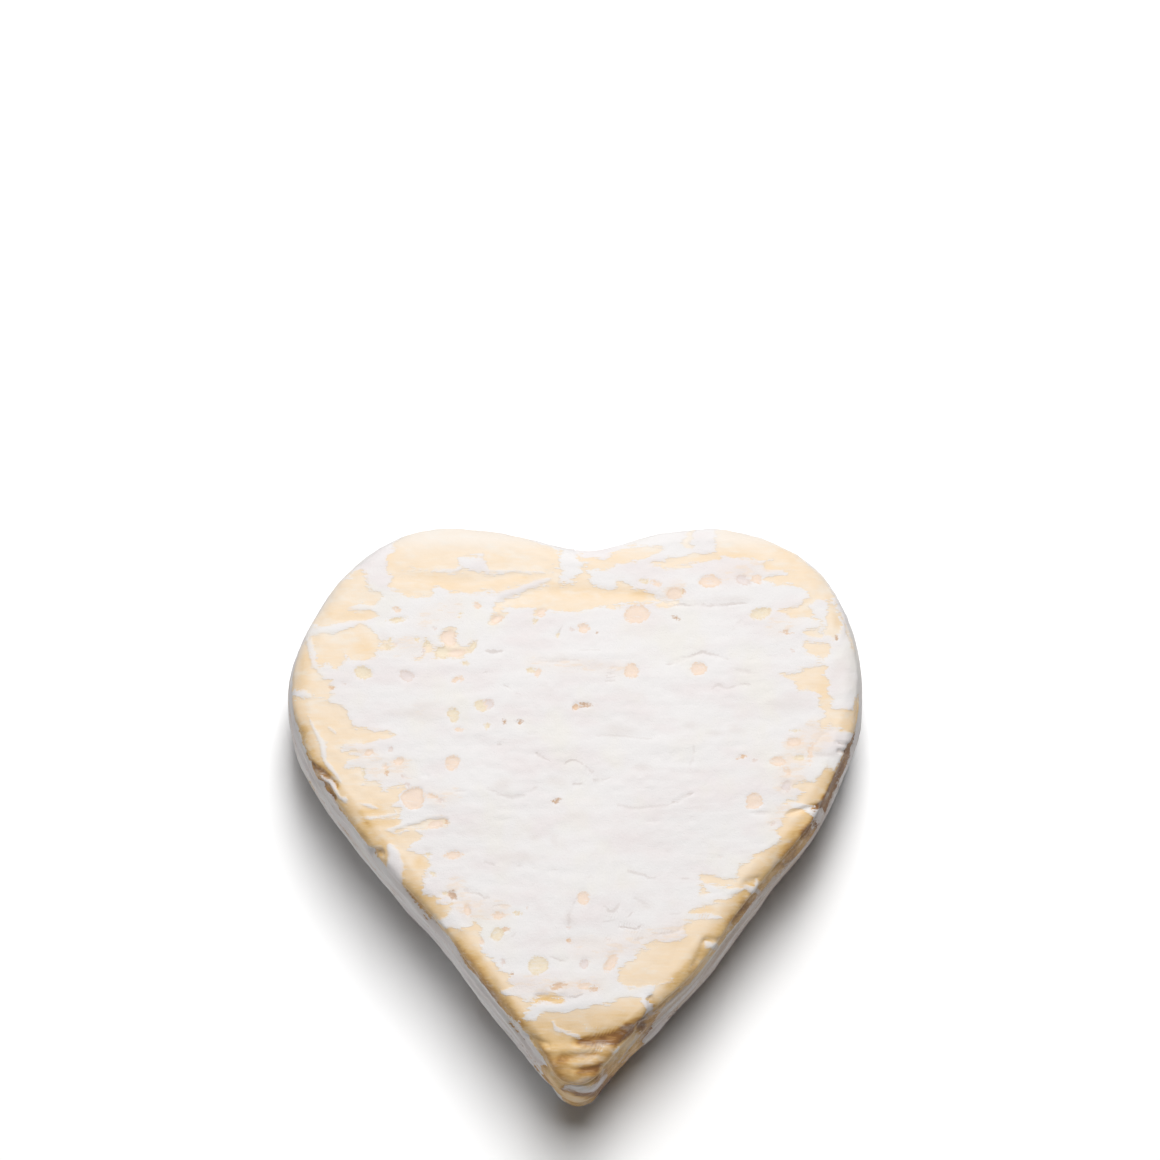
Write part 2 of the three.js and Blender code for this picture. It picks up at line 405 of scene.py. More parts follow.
# Threads and flaps of mould that lie over bare rind.
THREADS = (
    Stroke(((-30.8, 41.05, 0.12), (-25, 41, 0.22), (-20.5, 41.1, 0.4))),
    Stroke(((-15.8, 40.9, 0.3), (-10, 40.9, 0.3), (-5.6, 40.7, 0.25))),
    Stroke(((-12.5, 36.8, 0.4), (-8, 38.3, 0.45), (-4.8, 39.4, 0.35))),
    Stroke(((-2.2, -50.3, 0.3), (0.5, -50.9, 0.6), (3, -50.9, 0.6), (4.6, -49.6, 0.6),
            (5.6, -48.3, 0.35))),
    Stroke(((6.3, -44, 0.3), (7.4, -43.3, 0.55))),
    Stroke(((29.3, -14.8, 0.4), (30.6, -15.4, 0.8), (32, -16, 0.5))),
    Stroke(((22.6, -24.6, 0.4), (24.2, -25.4, 0.8), (25.4, -26.2, 0.5))),
    Stroke(((7.8, -46.2, 0.2), (9.5, -43.6, 0.35), (11.4, -41.5, 0.3))),
    Stroke(((-39.8, 34.4, 0.12), (-37.5, 34.2, 0.3), (-34.6, 34.3, 0.3))),
    Stroke(((-46, 29.8, 0.35), (-42, 30.6, 0.45), (-38.5, 31.7, 0.3), (-35.5, 32, 0.45))),
    Stroke(((-45.9, 29, 0.25), (-46.1, 26.5, 0.35), (-45.6, 24, 0.2), (-43.8, 22.7, 0.12))),
    Stroke(((-46.5, 15.6, 0.12), (-45.3, 13, 0.35), (-43.9, 10.5, 0.55), (-43.6, 8.6, 0.6),
            (-43.5, 7.4, 0.4), (-42.6, 6.3, 0.55), (-41.4, 4.9, 0.3), (-40.6, 3.5, 0.12))),
    Stroke(((-44.2, 4.5, 0.25), (-42.5, 3.4, 0.55), (-41.6, 2, 0.5), (-40.9, 0.9, 0.35),
            (-40, 0.6, 0.65))),
    Stroke(((-37.3, -0.1, 0.15), (-35.8, -0.5, 0.4), (-34.2, -1, 0.15))),
    Stroke(((-37.2, -2.6, 0.12), (-35.5, -2.8, 0.3), (-33, -2.3, 0.25), (-31, -2, 0.3),
            (-31.4, -0.9, 0.15))),
    Stroke(((-34, -4.9, 0.15), (-31.5, -4.5, 0.4), (-29, -3.6, 0.5), (-27, -3.2, 0.4))),
    Stroke(((-39.9, 7, 0.12), (-37, 7.3, 0.35), (-33, 8, 0.7))),
    Stroke(((-42.8, 13.3, 0.35), (-41.6, 12.3, 0.35))),
    Stroke(((-32.2, -7.6, 0.6), (-31.4, -9, 1.1), (-31.2, -11, 1.5), (-32, -14, 2.2))),
    Stroke(((-19.8, -18.5, 0.8), (-21, -20.3, 1.3), (-22.4, -21.2, 0.9))),
    Stroke(((-12.8, -33, 0.15), (-9.5, -33.3, 0.4), (-6, -33.3, 0.5))),
    Stroke(((-8.4, -37.9, 0.15), (-6.5, -36.3, 0.3), (-3, -35.8, 0.35), (0, -35.3, 0.3),
            (4, -35, 0.3))),
    Stroke(((-4, -38.2, 0.2), (-3.4, -39.6, 0.5), (-1.4, -40.4, 0.3), (0.6, -41.2, 0.45))),
    Stroke(((-1, -38, 0.1), (0.7, -38.4, 0.2), (1.9, -39.1, 0.15), (1.7, -40.3, 0.12))),
    Stroke(((2.6, -39.5, 0.2), (4, -39.5, 0.2))),
    Stroke(((3.4, -43.2, 0.2), (4.4, -43.4, 0.3))),
    Stroke(((7, -43.4, 0.3), (7.6, -44.1, 0.35))),
    Stroke(((11.6, -35.2, 0.2), (12.8, -36.2, 0.35), (13.9, -37.1, 0.25))),
    Stroke(((12.3, -37.5, 0.3), (12.9, -38.7, 0.45), (12.3, -39.4, 0.25))),
    Stroke(((5.5, -34, 0.5), (10, -33.3, 0.55), (13, -32.3, 0.35), (16.6, -31.2, 0.15))),
    Stroke(((15.6, -23.7, 0.2), (17.2, -23.5, 0.75), (18.6, -23.4, 0.5))),
    Stroke(((19.8, -20.1, 0.15), (22, -20.2, 0.3), (24.6, -20.1, 0.2))),
    Stroke(((20.4, -17.7, 0.3), (23, -16.7, 0.55), (26, -15.9, 0.5), (29.2, -15.1, 0.2))),
    Stroke(((22.6, -25.2, 0.3), (23.6, -25.1, 0.4), (24.4, -24.6, 0.2))),
    Stroke(((30.2, -15.6, 0.3), (31, -15, 0.45), (31.3, -13.9, 0.3))),
    Stroke(((35.4, -0.9, 0.2), (38, -0.8, 0.25), (40.4, -0.1, 0.15))),
    Stroke(((32.4, 41, 0.3), (35, 41, 0.2), (38.2, 41.2, 0.1))),
    Stroke(((40.4, 29.2, 0.25), (42.8, 29, 0.2), (43.8, 28.9, 0.25))),
    Stroke(((45, 11.6, 0.9), (46.6, 11.2, 1.1))),
    Stroke(((-47.1, 19.7, 0.3), (-46.4, 18.7, 0.25))),
)

# Hollows of the rind, from the notch round to the point.
PITS = (
    Pit(11, 33.4, 2.3, 1.7), Pit(-5.9, 33.4, 0.9, 0.9), Pit(17.1, 36.9, 1.5, 1.05),
    Pit(18.6, 37.2, 0.4, 0.5, Tint.RUST), Pit(17.5, 32.7, 0.55, 0.38, Tint.DARK),
    Pit(12, 39, 0.9, 0.5, Tint.OLIVE), Pit(14, 38.6, 0.95, 0.6),
    Pit(23.3, 39.1, 2.1, 1.2), Pit(28.9, 39.3, 1.5, 0.9, Tint.MAUVE, -20),
    Pit(31.4, 39.5, 0.95, 0.9), Pit(32.3, 33.3, 1.9, 1, Tint.OLIVE, 12),
    Pit(36.6, 29.9, 1, 0.35, Tint.RUST, -10), Pit(37.3, 26.8, 0.4, 0.45, Tint.MAUVE),
    Pit(21.2, 23.5, 1.35, 1.25), Pit(9.5, 23.3, 1.25, 1.35), Pit(1.5, 30.8, 1.1, 0.95),
    Pit(3.6, 29.9, 0.3, 0.25, Tint.DARK), Pit(-0.7, 30.7, 0.6, 0.35, Tint.MAUVE, -30),
    Pit(-3, 29.6, 0.45, 0.5, Tint.OLIVE), Pit(-7, 32, 0.4, 0.65, Tint.OLIVE, -25),
    Pit(-13.7, 32.4, 0.95, 0.9), Pit(-17.2, 34.8, 0.8, 0.6), Pit(-20, 33.2, 0.4, 0.4, Tint.OLIVE),
    Pit(-24.3, 30.8, 0.45, 0.4, Tint.MAUVE), Pit(-21.9, 29, 1.5, 1.5, Tint.PEACH, 30),
    Pit(-23.3, 26.4, 1.5, 1.2, Tint.OLIVE), Pit(-20.6, 26.4, 1.9, 0.8, Tint.PEACH, 6),
    Pit(-17.9, 27.4, 1.4, 0.6, Tint.OLIVE, 55), Pit(-19.2, 24.5, 0.7, 0.45, Tint.OLIVE),
    Pit(-25.9, 28.1, 0.55, 0.75, Tint.OLIVE, -25), Pit(-26.7, 26.5, 0.35, 1.5, Tint.MAUVE, -25),
    Pit(-32.6, 27.4, 1.3, 0.45, Tint.OLIVE, -14), Pit(-32.1, 28.7, 0.6, 0.5, Tint.OLIVE),
    Pit(-30.9, 28, 0.4, 0.4, Tint.MAUVE), Pit(-27.5, 28.7, 0.6, 0.45, Tint.OLIVE),
    Pit(-31.3, 34, 0.8, 0.55), Pit(-31, 32.3, 1.6, 0.55, Tint.OLIVE, 5),
    Pit(-36.8, 23, 1.65, 1.3, Tint.OLIVE), Pit(-39.9, 21.1, 0.5, 0.35, Tint.MAUVE),
    Pit(-42.2, 20.2, 0.6, 0.35, Tint.RUST), Pit(-29.3, 22.4, 1.3, 1, Tint.MAUVE, -20),
    Pit(-20.8, 21.7, 0.6, 0.45, Tint.PEACH, 45), Pit(-19.7, 21.9, 0.6, 0.4, Tint.PEACH, -35),
    Pit(-8, 23.3, 0.9, 0.55, Tint.OLIVE), Pit(-6.7, 22.9, 0.6, 1, Tint.PEACH),
    Pit(-16.3, 17.1, 1.1, 1.1, Tint.OLIVE), Pit(-14.9, 17.5, 0.8, 1, Tint.MAUVE),
    Pit(0, 17, 0.6, 0.7, Tint.RUST, 0, 0.5), Pit(1.6, 17.3, 1.2, 0.45, Tint.DARK, 0, 0.5),
    Pit(-21.2, 15.4, 0.95, 1.4, Tint.OLIVE), Pit(-20.3, 12.9, 0.95, 0.5),
    Pit(-15.2, 13.4, 0.6, 0.6, Tint.OLIVE), Pit(-12.3, 14.2, 0.4, 0.55, Tint.DARK),
    Pit(-9.7, 14.3, 0.6, 0.55, Tint.DARK, 0, 0.5), Pit(-21.3, 7, 1.25, 1.4),
    Pit(-30.5, 7.3, 1, 0.8), Pit(-32.8, 6.3, 0.65, 0.55), Pit(-32.6, 5.2, 0.4, 0.55, Tint.RUST),
    Pit(-31.9, 9.5, 0.6, 0.55, Tint.MAUVE), Pit(-35.8, 8.9, 0.9, 0.65),
    Pit(-36.7, 5.2, 0.4, 0.8, Tint.OLIVE),
    Pit(-28, 0.8, 2, 2, Tint.PEACH, 0, 0.45), Pit(-29.3, 3, 0.4, 0.9, Tint.MAUVE, 25),
    Pit(-24.6, 1.2, 1.5, 0.4, Tint.PEACH, -12), Pit(-23.3, 0.6, 0.7, 0.4, Tint.MAUVE),
    Pit(-24, -3.9, 1.9, 0.75, Tint.PEACH, 12), Pit(-22.3, -3.5, 0.45, 0.5, Tint.RUST),
    Pit(-21.2, -9.1, 1.5, 0.65, Tint.PEACH, 10), Pit(-25.5, -9.1, 0.6, 0.45, Tint.OLIVE),
    Pit(-24.8, -12.4, 0.5, 0.45, Tint.OLIVE), Pit(-21.2, -16, 0.8, 0.8, Tint.DARK, 0, 0.45),
    Pit(-22.4, -15.8, 0.9, 0.35, Tint.OLIVE), Pit(-18.8, -19, 0.6, 1.2, Tint.PEACH, 25),
    Pit(-13.6, -19.6, 1.2, 0.65), Pit(-10.3, -19.4, 0.9, 0.4, Tint.OLIVE),
    Pit(-8.7, -18.5, 0.3, 0.3, Tint.MAUVE), Pit(-13.6, -23, 1.1, 1.2, Tint.OLIVE),
    Pit(-12.3, -22, 0.8, 0.45, Tint.RUST), Pit(-16, -24.3, 0.5, 0.6, Tint.PEACH),
    Pit(1.4, -16.8, 1.2, 1.15), Pit(-1.5, -21.9, 0.6, 0.4, Tint.MAUVE),
    Pit(-1, -24.3, 0.6, 0.5, Tint.RUST), Pit(5.7, -23.7, 0.7, 0.35, Tint.MAUVE),
    Pit(1.7, -28.2, 0.8, 0.9, Tint.MAUVE), Pit(6.2, -28, 1, 1.7, Tint.PEACH, -35),
    Pit(-6.6, -28.5, 1.75, 1.8, Tint.OLIVE, 0, 0.25), Pit(-12.4, -28, 0.4, 0.5, Tint.MAUVE),
    Pit(-11.2, -29.9, 0.3, 0.3, Tint.DARK), Pit(-3, -32.2, 1.6, 0.7, Tint.RUST, 12),
    Pit(1.7, -32, 1.3, 0.65, Tint.PEACH), Pit(3.2, -32.4, 1.2, 0.5, Tint.RUST, -5),
    Pit(30.8, 0.2, 1.55, 1.55, Tint.PEACH, 0, 0.3), Pit(28.6, 8.1, 0.9, 0.4, Tint.RUST, 12),
    Pit(31, 7.4, 0.45, 0.35, Tint.MAUVE), Pit(35.2, 7.3, 1.45, 1),
    Pit(36.7, 5.7, 0.55, 1, Tint.PEACH, 20),
    Pit(36.6, 3, 0.9, 1.2, Tint.MAUVE), Pit(38, 10.6, 1.25, 0.75, Tint.PEACH, 8),
    Pit(40.6, 8.8, 0.55, 2, Tint.PEACH), Pit(39, 8, 0.9, 0.6, Tint.OLIVE),
    Pit(38, 12.7, 0.9, 0.35, Tint.OLIVE), Pit(33.9, -3.8, 0.45, 0.4, Tint.MAUVE),
    Pit(25, -9.7, 0.5, 0.3, Tint.MAUVE), Pit(-3.2, 0.4, 0.75, 0.4, Tint.DARK, 5, 0.45),
    Pit(-29.7, 4.6, 0.4, 0.3, Tint.MAUVE), Pit(45.2, 29.2, 0.4, 0.5, Tint.DARK),
)

# Fine splits of the mould: (x, y, half-width) paths and how dark each one is, which sets both its
# depth and the shade painted in it.
SPLITS = (
    Stroke(((16.2, 24.4, 0.25), (18.5, 25.2, 0.3), (21.8, 26.7, 0.22), (23.8, 26.1, 0.3),
            (26, 25.6, 0.25)), 0.75),
    Stroke(((24, 20.3, 0.2), (25, 20.9, 0.25), (26.5, 20.2, 0.2), (28.5, 20.8, 0.2),
            (30, 20.8, 0.2)), 0.6),
    Stroke(((27.5, 23.2, 0.3), (30.5, 23, 0.3)), 0.4),
    Stroke(((30, 25.2, 0.2), (31.8, 25, 0.2)), 0.35),
    Stroke(((27.4, 30.5, 0.2), (28, 31.6, 0.2), (29, 32.3, 0.15)), 0.35),
    Stroke(((15.5, 35.4, 0.3), (20, 34.9, 0.25), (22.3, 34.7, 0.3), (25, 34.8, 0.25),
            (30, 35.2, 0.15)), 0.8),
    Stroke(((-6.9, 25.2, 0.25), (-4, 25, 0.25), (-1.8, 25.2, 0.2), (0.6, 25, 0.15)), 0.7),
    Stroke(((5.2, 23.9, 0.15), (6.6, 23.9, 0.15)), 0.5),
    Stroke(((5.2, 22.7, 0.18), (6.8, 22.7, 0.15)), 0.7),
    Stroke(((5.2, 21.6, 0.15), (6.6, 21.6, 0.15)), 0.5),
    Stroke(((0.7, 27.1, 0.12), (3.7, 26.9, 0.12)), 0.4),
    Stroke(((-15.4, 26.8, 0.2), (-14, 26.8, 0.3), (-12.4, 26.9, 0.2)), 0.8),
    Stroke(((-3.1, 29.4, 0.3), (-2.8, 30.4, 0.2), (-2.2, 31.3, 0.12)), 0.6),
    Stroke(((-15.9, 22.9, 0.2), (-15, 23.2, 0.2)), 0.4),
    Stroke(((-12.1, 20.8, 0.2), (-11.6, 20.4, 0.2)), 0.6),
    Stroke(((-10.3, 19.1, 0.15), (-9.9, 19.1, 0.15)), 0.7),
    Stroke(((-8, 12.2, 0.15), (-6.6, 12.1, 0.15)), 0.5),
    Stroke(((-13.3, 10.1, 0.2), (-12.8, 10.2, 0.2)), 0.6),
    Stroke(((-12.4, 11.1, 0.15), (-11, 11.3, 0.15)), 0.4),
    Stroke(((-6.7, 8.8, 0.25), (-5.6, 7.9, 0.2), (-4.4, 7.4, 0.1)), 0.75),
    Stroke(((-1.8, 7, 0.15), (-0.9, 7.5, 0.2), (0, 7.5, 0.2), (0.8, 6.9, 0.15)), 0.8),
    Stroke(((1.5, 6.6, 0.15), (2.7, 5.5, 0.25)), 0.7),
    Stroke(((3.1, 4, 0.25), (4, 4, 0.25), (5.8, 4.5, 0.15)), 0.65),
    Stroke(((-0.6, 3.4, 0.2), (0.9, 3.5, 0.2)), 0.7),
    Stroke(((-15, 2.7, 0.3), (-13.4, 1.6, 0.35), (-11, 1.1, 0.4), (-9, 1.3, 0.35),
            (-7, 2.6, 0.25)), 0.45),
    Stroke(((16.1, -0.1, 0.2), (18, 0.6, 0.3), (20.1, 1.6, 0.2)), 0.85),
    Stroke(((7.5, -0.5, 0.25), (10, -1, 0.2), (15.5, -0.6, 0.2)), 0.35),
    Stroke(((26.2, 0.4, 0.2), (27.8, 0.8, 0.15)), 0.4),
    Stroke(((30.7, -1.9, 0.25), (32.5, -1.9, 0.3), (33.7, -1.6, 0.2)), 0.7),
    Stroke(((3.5, 11.9, 0.2), (10, 11.6, 0.2), (13, 11.2, 0.15)), 0.35),
    Stroke(((20.3, 10, 0.2), (20.2, 7.5, 0.25), (19.5, 5.8, 0.2)), 0.3),
    Stroke(((12, -3.2, 0.2), (14, -3.3, 0.2)), 0.3),
    Stroke(((-16, -10.6, 0.2), (-14.3, -10.8, 0.2)), 0.45),
    Stroke(((-10.4, -11, 0.2), (-9.6, -10.8, 0.25)), 0.5),
    Stroke(((-7.6, -11.3, 0.2), (-6.2, -11.4, 0.15)), 0.5),
    Stroke(((-5, -11.7, 0.15), (-3.2, -11.6, 0.15)), 0.4),
    Stroke(((2, -13, 0.2), (2.8, -12.8, 0.2)), 0.4),
    Stroke(((9, -12.1, 0.3), (10.6, -12.3, 0.25), (12.5, -12.6, 0.15)), 0.55),
    Stroke(((12.8, -13, 0.2), (14.2, -13, 0.2)), 0.5),
    Stroke(((18.3, -13.3, 0.25), (19.4, -13.2, 0.2)), 0.5),
    Stroke(((-18.9, -15.2, 0.25), (-17.2, -15.7, 0.25), (-15.8, -16.7, 0.25),
            (-14.8, -16.7, 0.15)), 0.8),
    Stroke(((-14.2, -18.1, 0.15), (-12.8, -18.1, 0.2), (-11.8, -18.2, 0.15)), 0.7),
    Stroke(((0.4, -16.6, 0.15), (-0.4, -17.6, 0.2), (-0.9, -19.4, 0.25), (-1.3, -21.2, 0.2)), 0.5),
    Stroke(((4.7, -18.3, 0.2), (5.5, -19.2, 0.3), (6.4, -18.9, 0.25), (7.5, -17.7, 0.2)), 0.65),
    Stroke(((10, -16.7, 0.25), (10.9, -17.2, 0.3), (12.4, -18.3, 0.4)), 0.5),
    Stroke(((8.9, -20, 0.2), (9.8, -19.2, 0.2)), 0.5),
    Stroke(((4.8, -20.8, 0.15), (6.4, -20.5, 0.15)), 0.4),
    Stroke(((7.8, -21.9, 0.15), (9.2, -22, 0.18), (10.3, -22, 0.18), (11.2, -21.4, 0.2)), 1.0),
    Stroke(((10.4, -24.3, 0.25), (12.2, -23.7, 0.2)), 0.7),
    Stroke(((13.4, -23.3, 0.15), (15.5, -22.7, 0.28), (17.2, -22.2, 0.25), (17.7, -21.6, 0.2)), 1.0),
    Stroke(((16.5, -19.4, 0.2), (18, -19.4, 0.2)), 0.3),
    Stroke(((-4.3, -26.9, 0.15), (-2.8, -27.5, 0.3), (-1.4, -27.8, 0.15)), 0.65),
    Stroke(((-6.7, -33.6, 0.2), (-5, -33.5, 0.3)), 0.9),
    Stroke(((-1.3, -34, 0.15), (0.2, -34.3, 0.25), (1.4, -33.6, 0.2)), 1.0),
    Stroke(((-11, -23.2, 0.2), (-10.7, -22.8, 0.2)), 0.5),
    Stroke(((-20.6, 2, 0.2), (-18.8, 2.1, 0.15)), 0.5),
    Stroke(((-26.5, 5.1, 0.2), (-25.4, 4.8, 0.25)), 0.7),
    Stroke(((-29.6, -4.1, 0.2), (-27, -4.3, 0.3), (-25, -3.1, 0.25), (-22, -2.9, 0.2)), 0.8),
    Stroke(((41, 10.6, 0.2), (42.3, 12.2, 0.2), (44.8, 13, 0.15)), 0.6),
    Stroke(((45.2, 10.6, 0.2), (47.6, 9.9, 0.25)), 0.9),
    Stroke(((45.4, 9.1, 0.25), (48.4, 9.3, 0.3)), 1.0),
    Stroke(((41.4, 8.6, 0.3), (44.6, 8.3, 0.25)), 0.4),
)

# Soft grey or pinkish bruises of the mould, and one long mauve patch of painted shade beside the
# right lobe's rim.
BRUISES_AND_SHADE = (
    Pit(-27.2, 15.6, 4.2, 0.9, Tint.MAUVE, -6), Pit(-26, 17.2, 2.2, 0.9),
    Pit(-3.4, 3.8, 2.2, 0.8), Pit(37, 17.4, 3.2, 1.4), Pit(20, 13.6, 1.2, 0.7),
    Pit(24, 12.2, 1.4, 0.6), Pit(28, 13, 1.6, 0.8), Pit(27.6, 35.8, 3.4, 0.7),
    Pit(29, 41.2, 1.6, 0.6), Pit(3, 24.4, 4, 1), Pit(7.5, 12.8, 3.4, 1.2),
    Pit(11.4, 6.2, 1.6, 0.8), Pit(-10, -9.6, 4.5, 0.8), Pit(-12.8, 3, 1.5, 1.2),
    # The long mauve one at (46, 24.6) is painted shade beside the right lobe's rim.
    Pit(46, 24.6, 1.2, 3, Tint.MAUVE, -35), Pit(11.7, -18.2, 1.5, 0.7),
    Pit(-6.9, -6.2, 0.9, 0.6), Pit(-3.6, -6.6, 0.8, 0.8), Pit(0.5, -24.4, 6, 0.7),
    Pit(-24, 1, 3, 0.7), Pit(-29, 28, 3, 1.2), Pit(-1, -20.5, 0.9, 1.8),
    Pit(42.5, 8.6, 2.6, 0.6), Pit(-25.5, -8, 1, 0.4), Pit(-33.4, 29.5, 1.2, 0.8),
)

# Deep orange places of the bare rind. Some strokes are painted shade instead: in creases, in the
# grooves beside the mould's streaks, and under the notch's ledge.
DEEP_TONES_AND_SHADE = (
    Stroke(((-24, 39, 1), (-21, 38.4, 1.3), (-15, 38.2, 0.9), (-9, 39.6, 0.4))),
    # Painted shade under the ledge of the notch.
    Stroke(((-4, 38, 0.5), (-2, 37.3, 0.8), (3, 37.2, 0.9), (8, 37, 0.8), (13, 36.3, 0.5))),
    Stroke(((-42, 32.8, 0.5), (-38, 33.3, 0.6), (-35.5, 33.5, 0.4))),
    Stroke(((-39, 29, 2), (-37, 27.5, 1.2))),
    Stroke(((-47.2, 26.5, 0.6), (-47, 22, 0.7), (-45, 19, 0.7)), 0.4),
    # Painted shade in the groove beside the left streak of mould.
    Stroke(((-47, 13, 0.6), (-46, 8, 0.9), (-43, 5.4, 0.7), (-41.2, 3, 0.5)), 0.6),
    Stroke(((-36.5, -1.6, 0.4), (-33.5, -1.4, 0.5))),
    Stroke(((-36, -3.4, 0.5), (-31, -3.2, 0.6))),
    Stroke(((-6.5, -34.6, 0.5), (-3.5, -34.6, 0.7), (-2, -34.3, 0.6)), 1.3),
    Stroke(((-27, -10.4, 1), (-25.8, -10.8, 0.5))),
    Stroke(((-20.5, -24.7, 0.5), (-17.3, -27.6, 0.8), (-15.5, -31, 0.8), (-13, -34.6, 0.9),
            (-9.5, -38.6, 0.8)), 0.45),
    # Painted shade in the crease at the point.
    Stroke(((0.3, -41.9, 0.4), (4, -41.6, 0.7), (9, -40.4, 1.2)), 1.2),
    Stroke(((2.4, -37.3, 0.4), (8, -37.2, 0.6)), 0.5),
    Stroke(((0.8, -46.8, 0.5), (3.6, -46.4, 0.5)), 0.9),
    Stroke(((-2.5, -45.5, 0.5), (-1.8, -45.4, 0.4)), 0.6),
    Stroke(((16, -32, 0.6), (19.8, -29, 0.8), (22.6, -25, 0.8)), 0.6),
    Stroke(((22.6, -23.6, 0.6), (24.6, -22.9, 0.7), (27, -20, 0.6)), 0.6),
    Stroke(((20, -18.9, 0.5), (23, -18.5, 0.5)), 0.6),
    Stroke(((28.3, -17.8, 0.6), (30.5, -14.5, 0.8), (33, -12, 0.7), (36.5, -8, 0.8),
            (39.5, -3, 0.9), (42, -0.6, 0.6)), 0.6),
    Stroke(((13, 36.6, 0.4), (10, 36.9, 0.4)), 1.0),
    Stroke(((33.5, 39.7, 0.5), (35, 39.4, 0.5)), 0.6),
    Stroke(((42.5, 23.5, 0.5), (42.7, 19, 0.8), (42.6, 17, 0.5)), 0.6),
    Stroke(((45.5, 32.3, 0.5), (45.3, 30.8, 0.5)), 0.8),
    Stroke(((42.5, -0.4, 0.5), (44, 1.8, 0.6), (46, 5, 0.6)), 0.8),
    Stroke(((-34, -7.6, 0.6), (-31.6, -5.8, 0.6)), 0.4),
    Stroke(((48.6, 11.6, 0.5), (47.9, 9, 0.8), (46.8, 6.5, 0.8), (45.8, 4, 0.8), (42.8, -1.6, 0.8),
            (39.8, -5.4, 0.7)), 1.5),
    Stroke(((-12.5, -40, 0.5), (-10.4, -42.6, 0.7)), 1.2),
    Stroke(((-2.3, -50.6, 0.35), (1.3, -52, 0.4), (4.2, -51.6, 0.4), (6.9, -49.7, 0.35)), 1.8),
    Stroke(((4.5, -49.3, 0.9), (8.4, -46.4, 1.4), (13, -41.5, 1.4), (17, -37.5, 0.9)), 0.3),
)

# Places where the mould is so thin that the rind shows through it.
BLUSHES = (
    Stroke(((-8, 24.9, 0.7), (-2, 24.6, 0.8), (5, 23.6, 0.5), (8, 23.4, 0.5))),
    Stroke(((-26, 32.5, 1.4), (-21.5, 34.5, 1.4))),
    Stroke(((-33.5, 27.6, 0.9), (-28, 27.4, 1.5), (-25, 27, 1.3)), 0.9),
    Stroke(((-26.5, 16.2, 1.6), (-23.5, 16.2, 1.2)), 0.4),
    Stroke(((1, -26, 1.6), (6, -25.6, 1.8), (9, -25.4, 1))),
    Stroke(((9.5, -24, 0.8), (14, -23.4, 1), (19, -21.8, 1)), 1.4),
    Stroke(((26, 40.4, 0.8), (33, 41.4, 1.5))),
    Stroke(((-38, 9.5, 1.6), (-34, 6, 2), (-30, 6, 1.5)), 1.4),
    Stroke(((36.5, 3, 1.5), (38, 8, 2.4), (42, 12.5, 2)), 1.6),
    Stroke(((35, 31, 1.5), (38, 33, 1.5))),
    Stroke(((16, 36.5, 1), (17.5, 38, 0.8)), 1.5),
    Stroke(((-24, 1, 1.2), (-21, 1.4, 0.8)), 1.2),
    Stroke(((-21, -15, 1.4), (-18, -19, 1.5), (-13, -19, 1.2)), 1.2),
    Stroke(((-10, -32, 1.2), (0, -32.2, 1), (4, -32, 0.8)), 1.2),
    Stroke(((34, -3, 1), (36, -1.5, 1)), 1.2),
)

# Creases (below 0) and rolls (above 0) in millimetres of height at the middle.
FOLDS = (
    Stroke(((-0.4, -42, 0.5), (3, -41.7, 0.8), (6.5, -41.2, 1.4), (10.8, -39.6, 1.8)), -0.55),
    Stroke(((-2.6, -44.4, 0.35), (0, -44.4, 0.4), (3.4, -44, 0.35)), -0.4),
    Stroke(((-5.5, -43.2, 0.5), (-2, -43.3, 0.8), (3, -43.2, 0.6)), 0.25),
    Stroke(((-3.4, -45.8, 0.5), (0, -45.6, 0.8), (3.5, -45.4, 0.6)), 0.22),
    Stroke(((-0.5, -46.9, 0.4), (2, -46.9, 0.5), (4.6, -46.2, 0.4)), -0.25),
    Stroke(((1.6, -48, 0.5), (3.6, -47.7, 0.7), (5, -47.6, 0.4)), 0.2),
    Stroke(((-9, -41.2, 0.4), (-6.5, -41.8, 0.5), (-4.6, -42.4, 0.3)), -0.3),
    Stroke(((-7, -34.4, 0.5), (-4, -34.4, 0.7), (-1.9, -34.1, 0.5)), -0.35),
    Stroke(((-13, 35.4, 0.8), (-6, 37.4, 1), (3, 37.2, 1.1), (9, 36.8, 1), (18, 35.5, 0.5)), -0.22),
    Stroke(((-9.5, 40.4, 0.8), (-16, 39.2, 1), (-24, 39.2, 1), (-31, 39.6, 0.8)), -0.15),
    Stroke(((12.8, -34.2, 0.5), (13.2, -36.2, 0.8), (12, -39.4, 1)), -0.7),
    Stroke(((22, -24.3, 0.5), (21.6, -26.4, 0.8), (20.4, -28.6, 0.6)), -0.3),
    Stroke(((24.8, -24, 0.4), (22.4, -24.2, 0.6)), -0.3),
    Stroke(((29.6, -16, 0.5), (29.5, -14, 0.7), (31.5, -13.3, 0.5)), -0.3),
    Stroke(((37, -1.9, 0.3), (40, -1, 0.5), (42.6, -0.3, 0.4)), -0.4),
    Stroke(((45.4, 9.2, 0.4), (49, 9.3, 0.5)), -0.35),
    Stroke(((45, 10.6, 0.3), (48.4, 10, 0.4)), -0.25),
    Stroke(((-46.3, 7, 0.5), (-44, 5.2, 0.7), (-41.4, 3, 0.5)), -0.45),
    Stroke(((-44.6, 3.2, 0.6), (-43.2, 2.9, 0.8), (-42, 0.8, 0.6)), -0.6),
    Stroke(((-36, -8.6, 0.5), (-33.6, -8.8, 0.6)), -0.8),
)


# ---------------------------------------------------------------------------
# The form of the cheese
# ---------------------------------------------------------------------------

